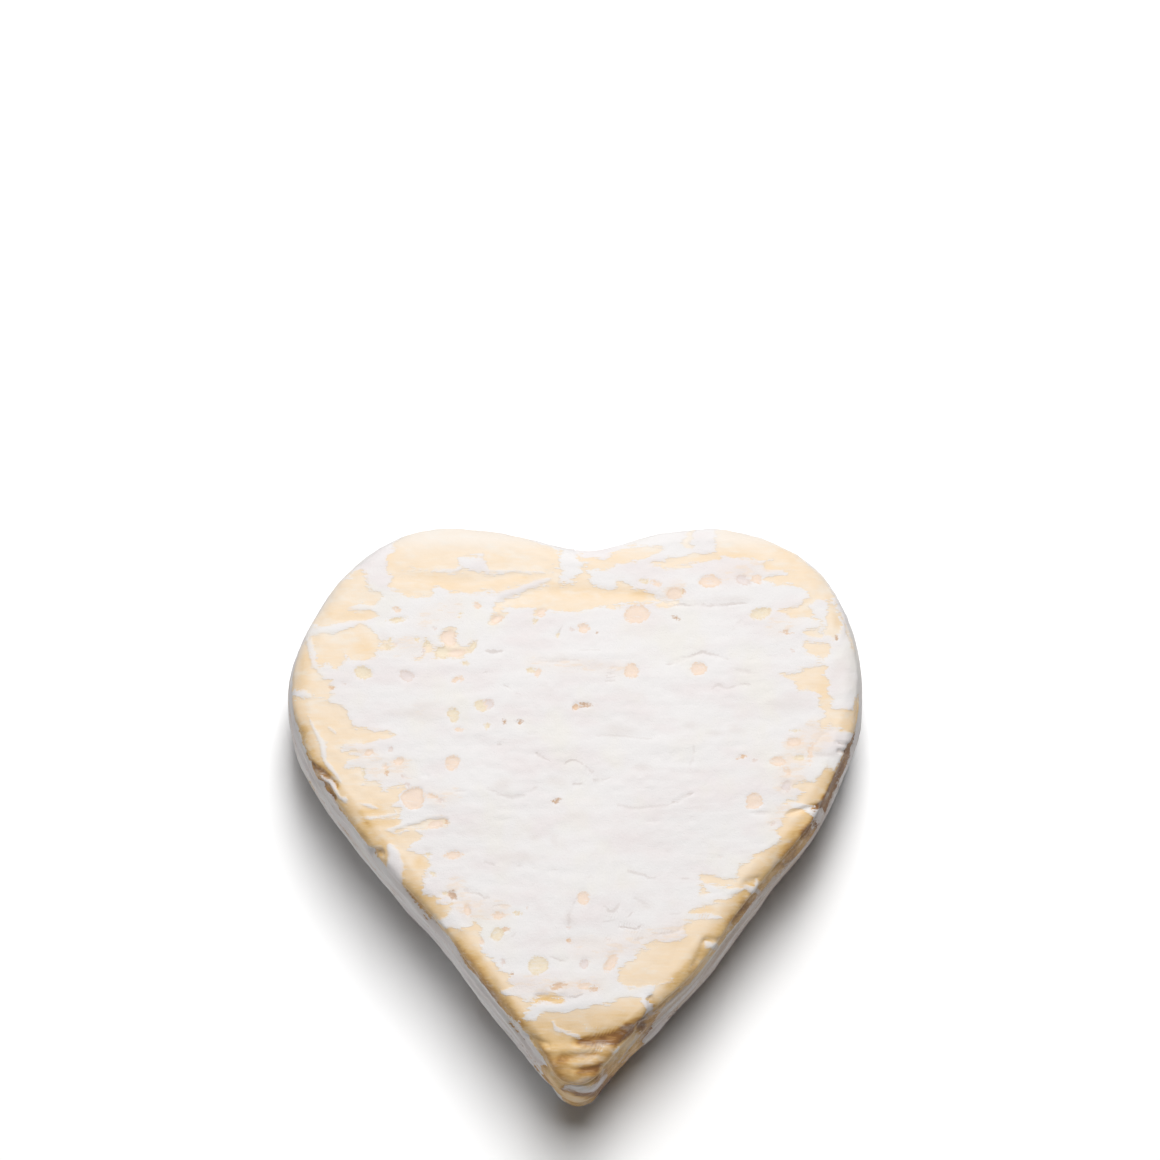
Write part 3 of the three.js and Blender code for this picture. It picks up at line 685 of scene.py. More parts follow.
@dataclass(frozen=True)
class Swell:
    """A place where the real heart leaves an even one, in millimetres."""

    HUB = -10.0          # the place on the centre line that pushes lead away from

    x: float
    y: float
    reach: float
    top: float           # how far it is pushed out at the top
    foot: float          # and at the foot

    def push(self, places: Array, thickness: float) -> Array:
        """Measure how far this pushes places outwards in plan.

        Args:
            places: places on an even heart, one to a row.
            thickness: the height of its top.

        Returns:
            Each place's push, one to a row.
        """
        outward = np.array([self.x, self.y - self.HUB]) / math.hypot(self.x, self.y - self.HUB)
        away = np.hypot(places[:, 0] - self.x, places[:, 1] - self.y) / self.reach
        push = self.foot + (self.top - self.foot) * places[:, 2] / thickness
        return (push * np.exp(-away ** 2))[:, None] * outward


UNEVEN = (
    Swell(-41, 37, 13, -0.9, -0.9),
    Swell(-49, 22, 11, 0.4, 0.4),
    Swell(-48, 2, 10, 0.4, 0.4),
    Swell(-26, -24, 11, -0.4, -0.2),
    Swell(-14, -38, 9, 0.2, 0.5),
    Swell(48, 6, 12, -0.6, -0.6),
    Swell(42, 36, 15, 1.1, 1.1),
    Swell(-7, 44, 6, 0.6, 0.6),
    Swell(22, -30, 15, 2.8, 2.4),
    Swell(40, -7, 13, 2.5, 1.2),
    Swell(1, -49, 6, 0.2, 0.8),
    Swell(-17, 49, 9, 0.35, 0.35),
    Swell(26, 49, 9, 0.35, 0.35),
)


@dataclass(frozen=True)
class HeartForm:
    """The plain form that the mould gives, in millimetres."""

    width: float
    length: float
    thickness: float
    notch_depth: float = 3.5
    crest_out: float = 22.0
    belly_up: float = 19.0
    tip_radius: float = 5.0
    flank_angle: float = 38.0
    notch_ease: float = 0.3          # lengths of the handles, as shares of their spans
    crest_ease: float = 0.53
    lobe_ease: float = 0.58
    belly_ease: float = 0.2
    flank_ease: float = 0.56
    shoulder: float = 4.0
    foot: float = 4.0
    bulge: float = 1.0
    crown: float = 1.0
    tip_droop: float = 3.5
    droop_reach: float = 16.0

    @property
    def hub(self) -> Array:
        """The place in plan from which the whole outline can be seen."""
        return np.array([0.0, self.belly_up / 2.0])

    @property
    def rim_inset(self) -> float:
        """How far the rim of the top lies inside the widest outline."""
        return self.bulge + self.shoulder

    def _half(self) -> Array:
        """Sample the right half of the outline.

        Returns:
            Places from the point to the notch, one to a row.
        """
        top, side = self.length / 2.0, self.width / 2.0
        lean = math.radians(self.flank_angle)
        centre = self.tip_radius - top
        arc = np.linspace(-math.pi / 2.0, -lean, 60, endpoint=False)[:, None]
        tip = np.hstack([np.cos(arc), np.sin(arc)]) * self.tip_radius + (0.0, centre)
        start = (self.tip_radius * math.cos(lean), centre - self.tip_radius * math.sin(lean))
        belly = (side, self.belly_up)
        crest = (self.crest_out, top)
        notch = (0.0, top - self.notch_depth)
        span = math.dist(start, belly)
        run = self.flank_ease * span
        handle = (start[0] + run * math.sin(lean), start[1] + run * math.cos(lean))
        flank = bezier(start, handle, (side, belly[1] - self.belly_ease * span), belly, 600)
        lobe = bezier(belly, (side, belly[1] + self.lobe_ease * (top - belly[1])),
                      (crest[0] + self.lobe_ease * (side - crest[0]), top), crest, 400)
        dip = bezier(crest, (crest[0] * self.crest_ease, top),
                     (crest[0] * self.notch_ease, notch[1]), notch, 200)
        return np.vstack([tip, flank, lobe, dip, [notch]])

    def outline(self, share: Array) -> Array:
        """Find places along the outline.

        Args:
            share: how far round each place is, from 0 at the point, by way of
                the right lobe, to 1 at the point again.

        Returns:
            The places in plan, one to a row.
        """
        right = self._half()
        left = right[-2:0:-1] * (-1.0, 1.0)
        loop = np.vstack([right, left, right[:1]])
        run = np.concatenate([[0.0], np.cumsum(np.hypot(*np.diff(loop, axis=0).T))])
        along = np.mod(share, 1.0) * run[-1]
        return np.column_stack([np.interp(along, run, loop[:, i]) for i in range(2)])

    def girth(self) -> float:
        """Measure the outline's length."""
        return 2.0 * float(np.hypot(*np.diff(self._half(), axis=0).T).sum())

    def pushed(self, places: Array) -> Array:
        """Push the places of an even heart to where the real one has them.

        Args:
            places: places on an even heart, one to a row.

        Returns:
            The places on the real one.
        """
        out = places.copy()
        for swell in UNEVEN:
            out[:, :2] += swell.push(places, self.thickness)
        return out

    def droop(self, y: Array) -> Array:
        """Give the share of its height that the cheese keeps at each place."""
        sag = 1.0 - smooth(0.0, self.droop_reach, y + self.length / 2.0)
        return 1.0 - self.tip_droop / self.thickness * sag


@dataclass
class HeartShell:
    """A fine closed mesh over the form, with every place's own coordinates."""

    form: HeartForm
    rings: int = 94
    shoulder_rows: int = 22
    wall_rows: int = 38
    foot_rows: int = 8
    floor_rows: int = 7
    top_chart: float = 0.6           # sides of the flat charts in the unit square
    floor_chart: float = 0.34
    strip: float = 0.17              # height of a strip of wall in it, and the step
    strip_step: float = 0.185
    strip_base: float = 0.63
    gap: float = 0.01
    places: Array = field(init=False)
    normals: Array = field(init=False)
    around: Array = field(init=False)
    faces: Faces = field(init=False)
    charts: Array = field(init=False)

    def __post_init__(self) -> None:
        """Lay the top, the wall and the underside, and measure the normals."""
        top, top_around, top_faces, top_charts = self._lay_top()
        wall, wall_around, wall_faces, wall_charts = self._lay_wall(len(top))
        self.places = self.form.pushed(np.vstack([top, wall]))
        self.around = np.concatenate([top_around, wall_around])
        self.faces = top_faces + wall_faces
        self.charts = np.vstack([top_charts, wall_charts])
        self.normals = self._measure_normals()

    @property
    def columns(self) -> int:
        """How many columns run round the rim."""
        return 8 * self.rings

    def _spread(self, share: Array, reach: Array) -> Array:
        """Place points of the top in plan.

        Args:
            share: how far round the rim each lies.
            reach: how far out, from 0 at the hub to 1 at the rim.

        Returns:
            The places, one to a row.
        """
        edge = self.form.outline(share) - self.form.hub
        length = np.hypot(*edge.T)
        scale = reach * (length - self.form.rim_inset) / length
        return self.form.hub + edge * scale[:, None]

    def _lay_top(self) -> tuple[Array, Array, Faces, Array]:
        """Lay the top as a square grid that is eased out to the heart.

        Returns:
            The places, how far round each one lies, the faces, and the charts of
            the faces' corners.
        """
        n = self.rings
        row, column = np.mgrid[-n:n + 1, -n:n + 1]
        ring = np.maximum(np.abs(row), np.abs(column))
        safe = np.maximum(ring, 1)
        right = (column == ring) & (column > -row)
        upper = (row == ring) & ~right
        left = (column == -ring) & ~upper
        turn = np.where(right, row, np.where(upper, 2 * safe - column,
                        np.where(left, 4 * safe - row, 6 * safe + column))) / (8.0 * safe)
        share = np.mod(turn + 0.25, 1.0).ravel()
        reach = (ring / n).ravel()
        plan = self._spread(share, reach)
        height = self.form.thickness - self.form.crown * reach ** 2
        places = np.column_stack([plan, height * self.form.droop(plan[:, 1])])

        side = 2 * n + 1
        start = (np.arange(side - 1)[:, None] * side + np.arange(side - 1)).ravel()
        quads = np.column_stack([start, start + 1, start + side + 1, start + side])
        chart = self._top_chart(plan)
        return places, share, [tuple(q) for q in quads.tolist()], chart[quads].reshape(-1, 2)

    def _rim_order(self) -> Array:
        """List the top grid's rim places in order.

        Returns:
            Their numbers, from the right side round.
        """
        n, side = self.rings, 2 * self.rings + 1
        turn = np.arange(8 * n)
        column = np.clip(np.abs(np.mod(turn + 4 * n, 8 * n) - 4 * n) * -1 + 2 * n, -n, n)
        row = np.clip(np.abs(np.mod(turn + 2 * n, 8 * n) - 4 * n) * -1 + 2 * n, -n, n)
        return (row + n) * side + column + n

    def _sections(self) -> list[Knot]:
        """List the wall's levels below the rim.

        Returns:
            The inset, the height and the reach of each level.
        """
        form = self.form
        high = form.thickness - form.crown - form.shoulder
        levels = []
        for i in range(1, self.shoulder_rows):
            a = math.pi / 2.0 * (1.0 - i / self.shoulder_rows)
            levels.append((form.bulge + form.shoulder * (1.0 - math.cos(a)),
                           high + form.shoulder * math.sin(a), 1.0))
        for i in range(self.wall_rows):
            t = 1.0 - i / self.wall_rows
            levels.append((form.bulge * (2.0 * t - 1.0) ** 2,
                           form.foot + t * (high - form.foot), 1.0))
        for i in range(self.foot_rows + 1):
            a = math.pi / 2.0 * i / self.foot_rows
            levels.append((form.bulge + form.foot * (1.0 - math.cos(a)),
                           form.foot * (1.0 - math.sin(a)), 1.0))
        for i in range(1, self.floor_rows + 1):
            levels.append((form.bulge + form.foot, 0.0, 1.0 - i / (self.floor_rows + 1)))
        return levels

    def _lay_wall(self, first: int) -> tuple[Array, Array, Faces, Array]:
        """Lay the wall and the underside in rows below the rim.

        Args:
            first: the number of the first new place.

        Returns:
            The places, how far round each one lies, the faces, and the charts of
            the faces' corners.
        """
        count = self.columns
        share = np.mod(np.arange(count) / count + 0.25, 1.0)
        edge = self.form.outline(share) - self.form.hub
        length = np.hypot(*edge.T)
        rows = []
        for inset, height, reach in self._sections():
            plan = self.form.hub + edge * (reach * (length - inset) / length)[:, None]
            rows.append(np.column_stack([plan, height * self.form.droop(plan[:, 1])]))
        rows.append(np.append(self.form.hub, 0.0)[None, :])
        around = np.concatenate([np.tile(share, len(rows) - 1), [0.5]])

        ids = [self._rim_order()]
        ids += [first + r * count + np.arange(count) for r in range(len(rows) - 1)]
        centre = first + (len(rows) - 1) * count
        levels = self._chart_levels()
        faces: Faces = []
        charts = []
        flat_from = len(rows) - 1 - self.floor_rows
        after = (np.arange(count) + 1) % count
        for r, (upper, lower) in enumerate(zip(ids, ids[1:])):
            quads = np.column_stack([upper, lower, lower[after], upper[after]])
            faces += [tuple(q) for q in quads.tolist()]
            if r >= flat_from:
                ends = (rows[r - 1][:, :2], rows[r][:, :2])
                corners = (ends[0], ends[1], ends[1][after], ends[0][after])
                charts.append(np.stack([self._floor_chart(c) for c in corners], axis=1))
            else:
                charts.append(self._wall_chart(levels[r], levels[r + 1]))
        last = ids[-1]
        faces += [tuple(t) for t in np.column_stack(
            [last, np.full(count, centre), last[after]]).tolist()]
        inner = rows[-2][:, :2]
        hub = np.tile(self.form.hub, (count, 1))
        fan = np.stack([self._floor_chart(c) for c in (inner, hub, inner[after])], axis=1)
        flat = [c.reshape(-1, 2) for c in charts] + [fan.reshape(-1, 2)]
        return np.vstack(rows), around, faces, np.vstack(flat)

    def _chart_levels(self) -> Array:
        """Measure how far down the wall each row lies.

        Returns:
            Shares of its height, from the rim down.
        """
        form = self.form
        points = [(form.rim_inset, form.thickness - form.crown)]
        points += [(inset, height) for inset, height, _ in self._sections()]
        steps = np.hypot(*np.diff(np.array(points), axis=0).T)
        wall = len(points) - self.floor_rows
        run = np.concatenate([[0.0], np.cumsum(steps)])
        return run / run[wall - 1]

    def _flat_chart(self, plan: Array, side: float, corner: Point) -> Array:
        """Map a plan into part of the unit square."""
        middle = (self.form.width / 2.0, self.form.length / 2.0)
        return (plan + middle) * (side / self.form.width) + np.array(corner)

    def _top_chart(self, plan: Array) -> Array:
        """Map the top into the lower left of the unit square."""
        return self._flat_chart(plan, self.top_chart, (0.015, 0.015))

    def _floor_chart(self, plan: Array) -> Array:
        """Map the underside into the lower right of the unit square."""
        return self._flat_chart(plan, self.floor_chart, (0.645, 0.015))

    def _wall_chart(self, upper: float, lower: float) -> Array:
        """Map one row of the wall into two strips across the unit square.

        Args:
            upper: how far down the wall the row starts, as a share of its height.
            lower: how far down it ends.

        Returns:
            The charts of its faces' corners.
        """
        half = self.columns // 2
        k = np.arange(self.columns)
        across = 1.0 - 2.0 * self.gap
        left = self.gap + across * (k % half) / half
        right = self.gap + across * (k % half + 1) / half
        base = self.strip_base + self.strip_step * (k // half)
        top, low = base + self.strip * (1.0 - upper), base + self.strip * (1.0 - lower)
        corners = ((left, top), (left, low), (right, low), (right, top))
        return np.stack([np.column_stack(c) for c in corners], axis=1)

    def _measure_normals(self) -> Array:
        """Average the faces' directions at every place.

        Returns:
            The normals, one to a row.
        """
        quads = np.array([f if len(f) == 4 else f + f[-1:] for f in self.faces])
        a, b, c, d = (self.places[quads[:, i]] for i in range(4))
        facing = np.cross(c - a, d - b)
        total = np.zeros_like(self.places)
        for i in range(4):
            for axis in range(3):
                total[:, axis] += np.bincount(quads[:, i], facing[:, axis], len(total))
        return total / np.linalg.norm(total, axis=1)[:, None]


# ---------------------------------------------------------------------------
# The rind: what lies where, and how high it stands
# ---------------------------------------------------------------------------

class Layer(Enum):
    """What is known about the rind at every place of the mesh."""

    BARE = "bare"                # millimetres inside bare rind, negative under mould
    PIT = "pit"                  # millimetres inside a pit
    TINT = "pit_tint"            # place on the pits' colour scale
    SPLIT_SIDE = "split_side"    # signed distance from a split, in half-widths
    SPLIT = "split"              # how dark the split is: its depth, and the shade painted in it
    BRUISE = "bruise"            # greyness of the mould, with one patch of painted shade
    BLUSH = "blush"              # how much rind shows through the mould
    THREAD = "thread"            # 1 on the threads of mould, whose edges stay crisp
    TONE_AND_SHADE = "glow"                # 0 for pale yellow rind, 1 for deep brown, with painted shade on the rim, the wall and the creases
    HAZE_AND_LIGHT = "haze"                # thin bloom over bare rind, and painted light on the far rims that face the key light
    WEAR = "wear"                # how much brown shows through the mould


@dataclass
class Rind:
    """The rind's pattern and relief over a shell, in millimetres."""

    shell: HeartShell
    mould_lift: float = 0.07
    thread_lift: float = 0.04
    split_depth: float = 0.14
    ridge: float = 0.09              # fine ridges of the top
    pore: float = 0.05
    lump: float = 0.3                # slow swells of the whole cheese
    point_ridge: float = 0.15        # wrinkles at the point, and the lumps between them
    point_lump: float = 0.28
    rim_bump: float = 0.45
    wall_wrinkle: float = 0.4
    wall_lump: float = 0.45
    wall_inset: float = 0.65         # keeps the wall's crests near the plain form
    rack_pitch: float = 9.0          # marks that the rack leaves on the underside
    rack_depth: float = 0.25
    mould_top: float = 27.2          # where the mould of the wall begins
    layers: dict[Layer, Array] = field(init=False, default_factory=dict)
    heights: Array = field(init=False)

    def __post_init__(self) -> None:
        """Work out every layer, then the height that follows from them."""
        self._p = self.shell.places
        self._up = self.shell.normals[:, 2]
        self._teeth = Grain(seed=11)
        self._soft = Grain(seed=23)
        around = self.shell.around
        self._s = np.where(around > 0.5, around - 1.0, around) * self.shell.form.girth()
        self._unrolled = np.column_stack([self._s, self._p[:, 2], self._p[:, 2] * 0.0])
        self._wall = 1.0 - smooth(0.25, 0.75, self._up)
        self._under = smooth(0.4, 0.9, -self._up)
        self._drawn = self._draw()
        self._mark_bare()
        self._mark_pits()
        self._mark_splits()
        self._mark_bruises()
        self._mark_blushes()
        self._mark_tone_and_shade()
        self._mark_haze_and_light()
        self._mark_wear()
        self.heights = self._relief()

    def _draw(self) -> Array:
        """Find every place on the plan that the marks are drawn on.

        Returns:
            The places of the plan, which is seen a little from the front, so that
            what lies lower on the wall lies further forward on it.
        """
        slant, level = 0.154, 30.8
        x, y, z = self._p.T
        return np.column_stack([1.009 * x + 0.1, 1.014 * y - 0.1 - slant * (level - z)])

    def _ragged(self, reach: float) -> tuple[Array, Array]:
        """Shift the drawn places so that straight outlines turn ragged.

        Args:
            reach: about how far they are shifted, in millimetres.

        Returns:
            The places along the width, and along the length.
        """
        x, y = self._drawn.T
        level = self._p * (1.0, 1.0, 0.35)
        across = self._teeth.at(level, (6.0, 1.3, 5.0))
        across = across + 0.5 * self._teeth.at(level, (1.7, 1.3, 2.0))
        along = self._soft.at(level, (2.6, 1.6, 2.2))
        along = along + 0.4 * self._soft.at(level, (1.2, 1.2, 1.2))
        return x + reach * across, y + 0.5 * reach * along

    def _mark_bare(self) -> None:
        """Lay the rind bare inside its patches, and below the rim."""
        x, y = self._ragged(0.75)
        bare = union(BARE, x, y)
        self._threads = union(THREADS, *self._drawn.T) - 0.1
        bare = np.minimum(bare, -self._threads)
        self.layers[Layer.THREAD] = smooth(-0.7, 0.0, self._threads)
        line = self._mould_line()
        bare = np.minimum(bare, self._p[:, 2] - line)
        streaks = self._teeth.layered(self._unrolled, (8.0, 1.1, 1.0), 2)
        spots = (streaks - 0.62) * 2.2 - 3.0 * smooth(25.0, 27.5, self._p[:, 2])
        spots = np.where(self._wall > 0.5, spots, -2.0)
        bare = np.maximum(bare, spots)
        rests = self._soft.layered(self._p, (7.0, 5.0, 5.0), 3) * 2.0 - 1.0
        bare = np.where(self._under > 0.5, rests, bare)
        self.layers[Layer.BARE] = np.clip(bare, -2.0, 2.0)

    def _mould_line(self) -> Array:
        """Find where the mould of the wall begins.

        Returns:
            The height of its edge beside each place.
        """
        s = self._s
        wander = 4.0 * self._soft.layered(self._unrolled, (12.0, 5.0, 1.0), 3)
        point = 1.0 - smooth(6.0, 15.0, np.abs(s - 5.0 + wander))
        right = between((8.0, 16.0), (48.0, 66.0), s)
        worn = between((52.0, 60.0), (74.0, 84.0), s)
        level = self.mould_top - 32.0 * point - 2.0 * right - 4.0 * worn
        ripple = self._soft.layered(self._unrolled * (1.0, 0.0, 0.0), (7.0, 1.0, 1.0), 3)
        fray = self._teeth.at(self._unrolled, (3.0, 1.2, 1.0))
        return level + 2.6 * ripple + 0.7 * fray

    def _mark_pits(self) -> None:
        """Sink the pits, and note each one's tint."""
        x, y = self._ragged(0.42)
        inside = np.full(len(x), -2.0)
        tint = np.full(len(x), Tint.PEACH.value)
        self._sunk = np.zeros(len(x))
        for pit in PITS:
            here = np.where(self._up > 0.2, pit.inside(x, y), -2.0)
            nearer = here > inside
            inside = np.where(nearer, here, inside)
            tint = np.where(nearer, pit.tint.value, tint)
            self._sunk = np.maximum(self._sunk, 0.6 * pit.depth * smooth(-0.1, 0.45, here))
        self.layers[Layer.PIT] = np.clip(inside, -1.5, 1.5)
        self.layers[Layer.TINT] = tint

    def _mark_splits(self) -> None:
        """Draw the fine splits of the mould, and how much shade is painted in each."""
        x, y = self._ragged(0.5)
        side = np.full(len(x), 6.0)
        near = np.full(len(x), np.inf)
        dark = np.zeros(len(x))
        for split in SPLITS:
            away, width, past = split.across(x, y)
            nearer = np.abs(away) < near
            near = np.where(nearer, np.abs(away), near)
            side = np.where(nearer, away / np.maximum(width, 0.1), side)
            fade = (1.0 - smooth(0.5, 0.95, np.abs(away))) * (1.0 - smooth(0.0, 0.35, past))
            dark = np.where(nearer, split.strength * fade, dark)
        dark = np.where(self._up > 0.2, dark, 0.0)
        self.layers[Layer.SPLIT_SIDE] = np.clip(side, -6.0, 6.0)
        self.layers[Layer.SPLIT] = dark

    def _mark_bruises(self) -> None:
        """Note how grey the mould is."""
        x, y = self._ragged(0.5)
        bruise = np.zeros(len(x))
        for spot in BRUISES_AND_SHADE:
            reach = min(spot.wide, spot.high)
            bruise = np.maximum(bruise, smooth(-0.6 * reach, 0.9 * reach, spot.inside(x, y)))
        cloud = smooth(0.25, 0.8, self._soft.layered(self._p, (14.0, 3.0, 5.0), 3))
        mottle = smooth(-0.1, 0.5, self._teeth.layered(self._unrolled, (6.0, 2.2, 1.0), 4))
        bruise = 0.6 * bruise + 0.18 * cloud
        self.layers[Layer.BRUISE] = np.where(self._up > 0.3, bruise, self._wall * mottle)

    def _mark_blushes(self) -> None:
        """Note where the rind shows through the mould of the top."""
        x, y = self._ragged(0.5)
        blush = np.zeros(len(x))
        for stroke in BLUSHES:
            shows = 0.5 * stroke.strength * smooth(-1.6, 0.8, stroke.inside(x, y))
            blush = np.maximum(blush, shows)
        self.layers[Layer.BLUSH] = np.where(self._up > 0.3, np.clip(blush, 0.0, 1.0), 0.0)

    def _mark_tone_and_shade(self) -> None:
        """Note how deep the colour of the bare rind is, above all along the rim. It is partly the
        rind's own colour and partly painted shade: on the rim and wall, most on the near side that
        faces away from the key light, and in the deeper creases.
        """
        x, y = self._ragged(0.5)
        s, drawn_y = self._s, self._drawn[:, 1]
        right = between((4.0, 14.0), (74.0, 92.0), s)
        # Painted shade: the near side faces away from the key light, so its rim and wall are given a
        # deeper colour.
        near = (1.0 - 0.85 * smooth(8.0, 34.0, self._p[:, 1])) * (1.0 - 0.08 * right)
        scallop = self._soft.layered(self._unrolled * (1.0, 0.3, 0.0), (4.5, 6.0, 1.0), 3)
        slope = (1.0 - self._up) * (1.0 + 0.5 * scallop)
        rim = self.shell.form.outline(np.arange(160) / 160.0)
        edge = Patch(tuple(map(tuple, rim))).inside(self._p[:, 0], self._p[:, 1])
        glow = 0.24 + 0.14 * self._soft.layered(self._p, (9.0, 5.0, 6.0), 3)
        glow += 0.15 * near * (1.0 - smooth(1.0, 11.0, edge))
        # Deeper down the shoulder and the wall: partly the rind's own colour, partly painted shade.
        for deeper, low, high in ((0.14, 0.0, 0.06), (0.12, 0.04, 0.35),
                                  (0.08, 0.35, 0.7), (0.18, 0.7, 1.0)):
            glow += near * deeper * smooth(low, high, slope)
        glow += 0.17 * (1.0 - smooth(-44.0, -31.0, drawn_y)) * (1.0 - self._wall)
        part = 0.26 - 0.15 * smooth(8.0, 28.0, drawn_y)
        for stroke in DEEP_TONES_AND_SHADE:
            glow += part * stroke.strength * smooth(-0.9, 0.5, stroke.inside(x, y))
        # Painted shade in the deeper creases.
        for fold in FOLDS:
            if fold.strength < -0.35:
                glow += 0.16 * smooth(-0.6, 0.4, fold.inside(x, y)) * near
        glow -= 0.1 * self._wall * (1.0 - smooth(10.0, 20.0, np.abs(s)))
        self.layers[Layer.TONE_AND_SHADE] = np.clip(glow, 0.0, 1.0)

    def _mark_haze_and_light(self) -> None:
        """Note the thin bloom over the bare rind of the far rims, which is also painted light where
        those rims face the key light.
        """
        far = smooth(43.5, 47.0, self._drawn[:, 1])
        side = smooth(16.0, 32.0, self._p[:, 1]) * smooth(0.1, 0.5, 1.0 - self._up)
        self.layers[Layer.HAZE_AND_LIGHT] = np.clip(np.maximum(0.8 * far, 0.7 * side), 0.0, 1.0)

    def _mark_wear(self) -> None:
        """Note how much brown shows through the mould of the wall."""
        right = between((-4.0, 14.0), (60.0, 84.0), self._s)
        patchy = self._teeth.layered(self._unrolled, (9.0, 1.4, 1.0), 3)
        wear = self._wall * (0.05 + 0.4 * right + 0.4 * patchy)
        self.layers[Layer.WEAR] = np.clip(wear, 0.0, 1.0)

    def _relief(self) -> Array:
        """Add up how far each place stands out of the plain form.

        Returns:
            The heights.
        """
        covered = smooth(-0.2, 0.4, -self.layers[Layer.BARE])
        h = self.mould_lift * covered
        h += self.thread_lift * smooth(-0.1, 0.35, self._threads)
        h -= self._sunk
        ratio = np.abs(self.layers[Layer.SPLIT_SIDE])
        h -= self.split_depth * self.layers[Layer.SPLIT] * (1.0 - smooth(0.5, 2.2, ratio))
        h += self._folds() + self.lump * self._soft.layered(self._p, (16.0, 11.0, 12.0), 2)
        h += self._point_wrinkles() + self._rim_bumps()
        ridges = self._teeth.layered(self._p, (8.0, 2.0, 3.0), 3)
        h += self.ridge * (1.0 - self._wall) * ridges * (0.4 + covered)
        h += self.pore * self._soft.at(self._p, (1.1, 1.0, 1.1))
        return h + self._wall_waves() - self._rack_marks()

    def _folds(self) -> Array:
        """Raise and sink the folds, which fade out down the wall.

        Returns:
            The heights that they add.
        """
        total = np.zeros(len(self._p))
        for fold in FOLDS:
            away, width, past = fold.across(*self._drawn.T)
            near = np.hypot(away, past) / np.maximum(width, 0.2)
            total += fold.strength * np.exp(-near ** 2)
        return total * smooth(19.0, 27.0, self._p[:, 2])

    def _wall_waves(self) -> Array:
        """Make the wall wavy, as the mould's weave leaves it.

        Returns:
            The heights that the waves add.
        """
        wrinkle = self._teeth.layered(self._unrolled, (14.0, 1.7, 1.0), 3)
        lumps = self._soft.layered(self._unrolled, (9.0, 6.0, 1.0), 2)
        waves = self.wall_wrinkle * wrinkle + self.wall_lump * lumps - self.wall_inset
        return self._wall * (1.0 - self._under) * waves

    def _rack_marks(self) -> Array:
        """Press the rack's bars faintly into the underside.

        Returns:
            How deep each place is pressed.
        """
        bar = np.abs(np.mod(self._p[:, 0] / self.rack_pitch, 1.0) - 0.5)
        return self._under * (self.rack_depth * smooth(0.16, 0.06, bar) + 0.1)

    def _point_wrinkles(self) -> Array:
        """Wrinkle the bare rind at the point of the heart.

        Returns:
            The heights that the wrinkles add.
        """
        near = 1.0 - smooth(-44.0, -36.0, self._p[:, 1])
        tilted = self._p @ np.array([[0.9, -0.35, 0.0], [0.35, 0.9, 0.0], [0.0, 0.4, 1.0]])
        ridge = 1.0 - np.abs(self._teeth.layered(tilted, (7.0, 3.2, 3.4), 4)) * 2.0
        lumps = self._soft.layered(self._p, (3.6, 3.0, 3.2), 2)
        return near * (self.point_ridge * ridge + self.point_lump * lumps)

    def _rim_bumps(self) -> Array:
        """Make the rim of the top uneven, as if pinched in places.

        Returns:
            The heights that the bumps add.
        """
        rim = smooth(0.03, 0.3, 1.0 - self._up) * smooth(0.1, 0.5, self._up)
        along = self._soft.layered(self._unrolled * (1.0, 0.4, 0.0), (5.0, 4.0, 1.0), 3)
        return self.rim_bump * rim * along

    def relieved(self) -> Array:
        """Raise the shell by its heights.

        Returns:
            The places of the finished surface, none of them below the floor.
        """
        out = self.shell.places + self.shell.normals * self.heights[:, None]
        out[:, 2] = np.maximum(out[:, 2], 0.0)
        return out


# ---------------------------------------------------------------------------
# Shader sums
# ---------------------------------------------------------------------------

@dataclass(frozen=True)
class Field:
    """A number that changes over the surface, used in ordinary sums."""

    recipe: "Recipe"
    socket: bpy.types.NodeSocket

    def __add__(self, other: "Field | float") -> "Field":
        """Add."""
        return self.recipe.sum("ADD", self, other)

    __radd__ = __add__

    def __sub__(self, other: "Field | float") -> "Field":
        """Take away."""
        return self.recipe.sum("SUBTRACT", self, other)

    def __rsub__(self, other: "Field | float") -> "Field":
        """Take this from a number."""
        return self.recipe.sum("SUBTRACT", other, self)

    def __mul__(self, other: "Field | float") -> "Field":
        """Multiply."""
        return self.recipe.sum("MULTIPLY", self, other)

    __rmul__ = __mul__

    def __abs__(self) -> "Field":
        """Drop the sign."""
        return self.recipe.sum("ABSOLUTE", self)

    def eased(self, low: float, high: float) -> "Field":
        """Ease from 0 at low to 1 at high.

        Args:
            low: where the result is 0. It may lie above high.
            high: where it is 1.

        Returns:
            A number between 0 and 1.
        """
        falls = low > high
        settings = {"interpolation_type": "SMOOTHSTEP"}
        sockets = {"Value": self, "From Min": min(low, high), "From Max": max(low, high),
                   "To Min": float(falls), "To Max": float(not falls)}
        return self.recipe.field("ShaderNodeMapRange", settings, sockets, "Result")


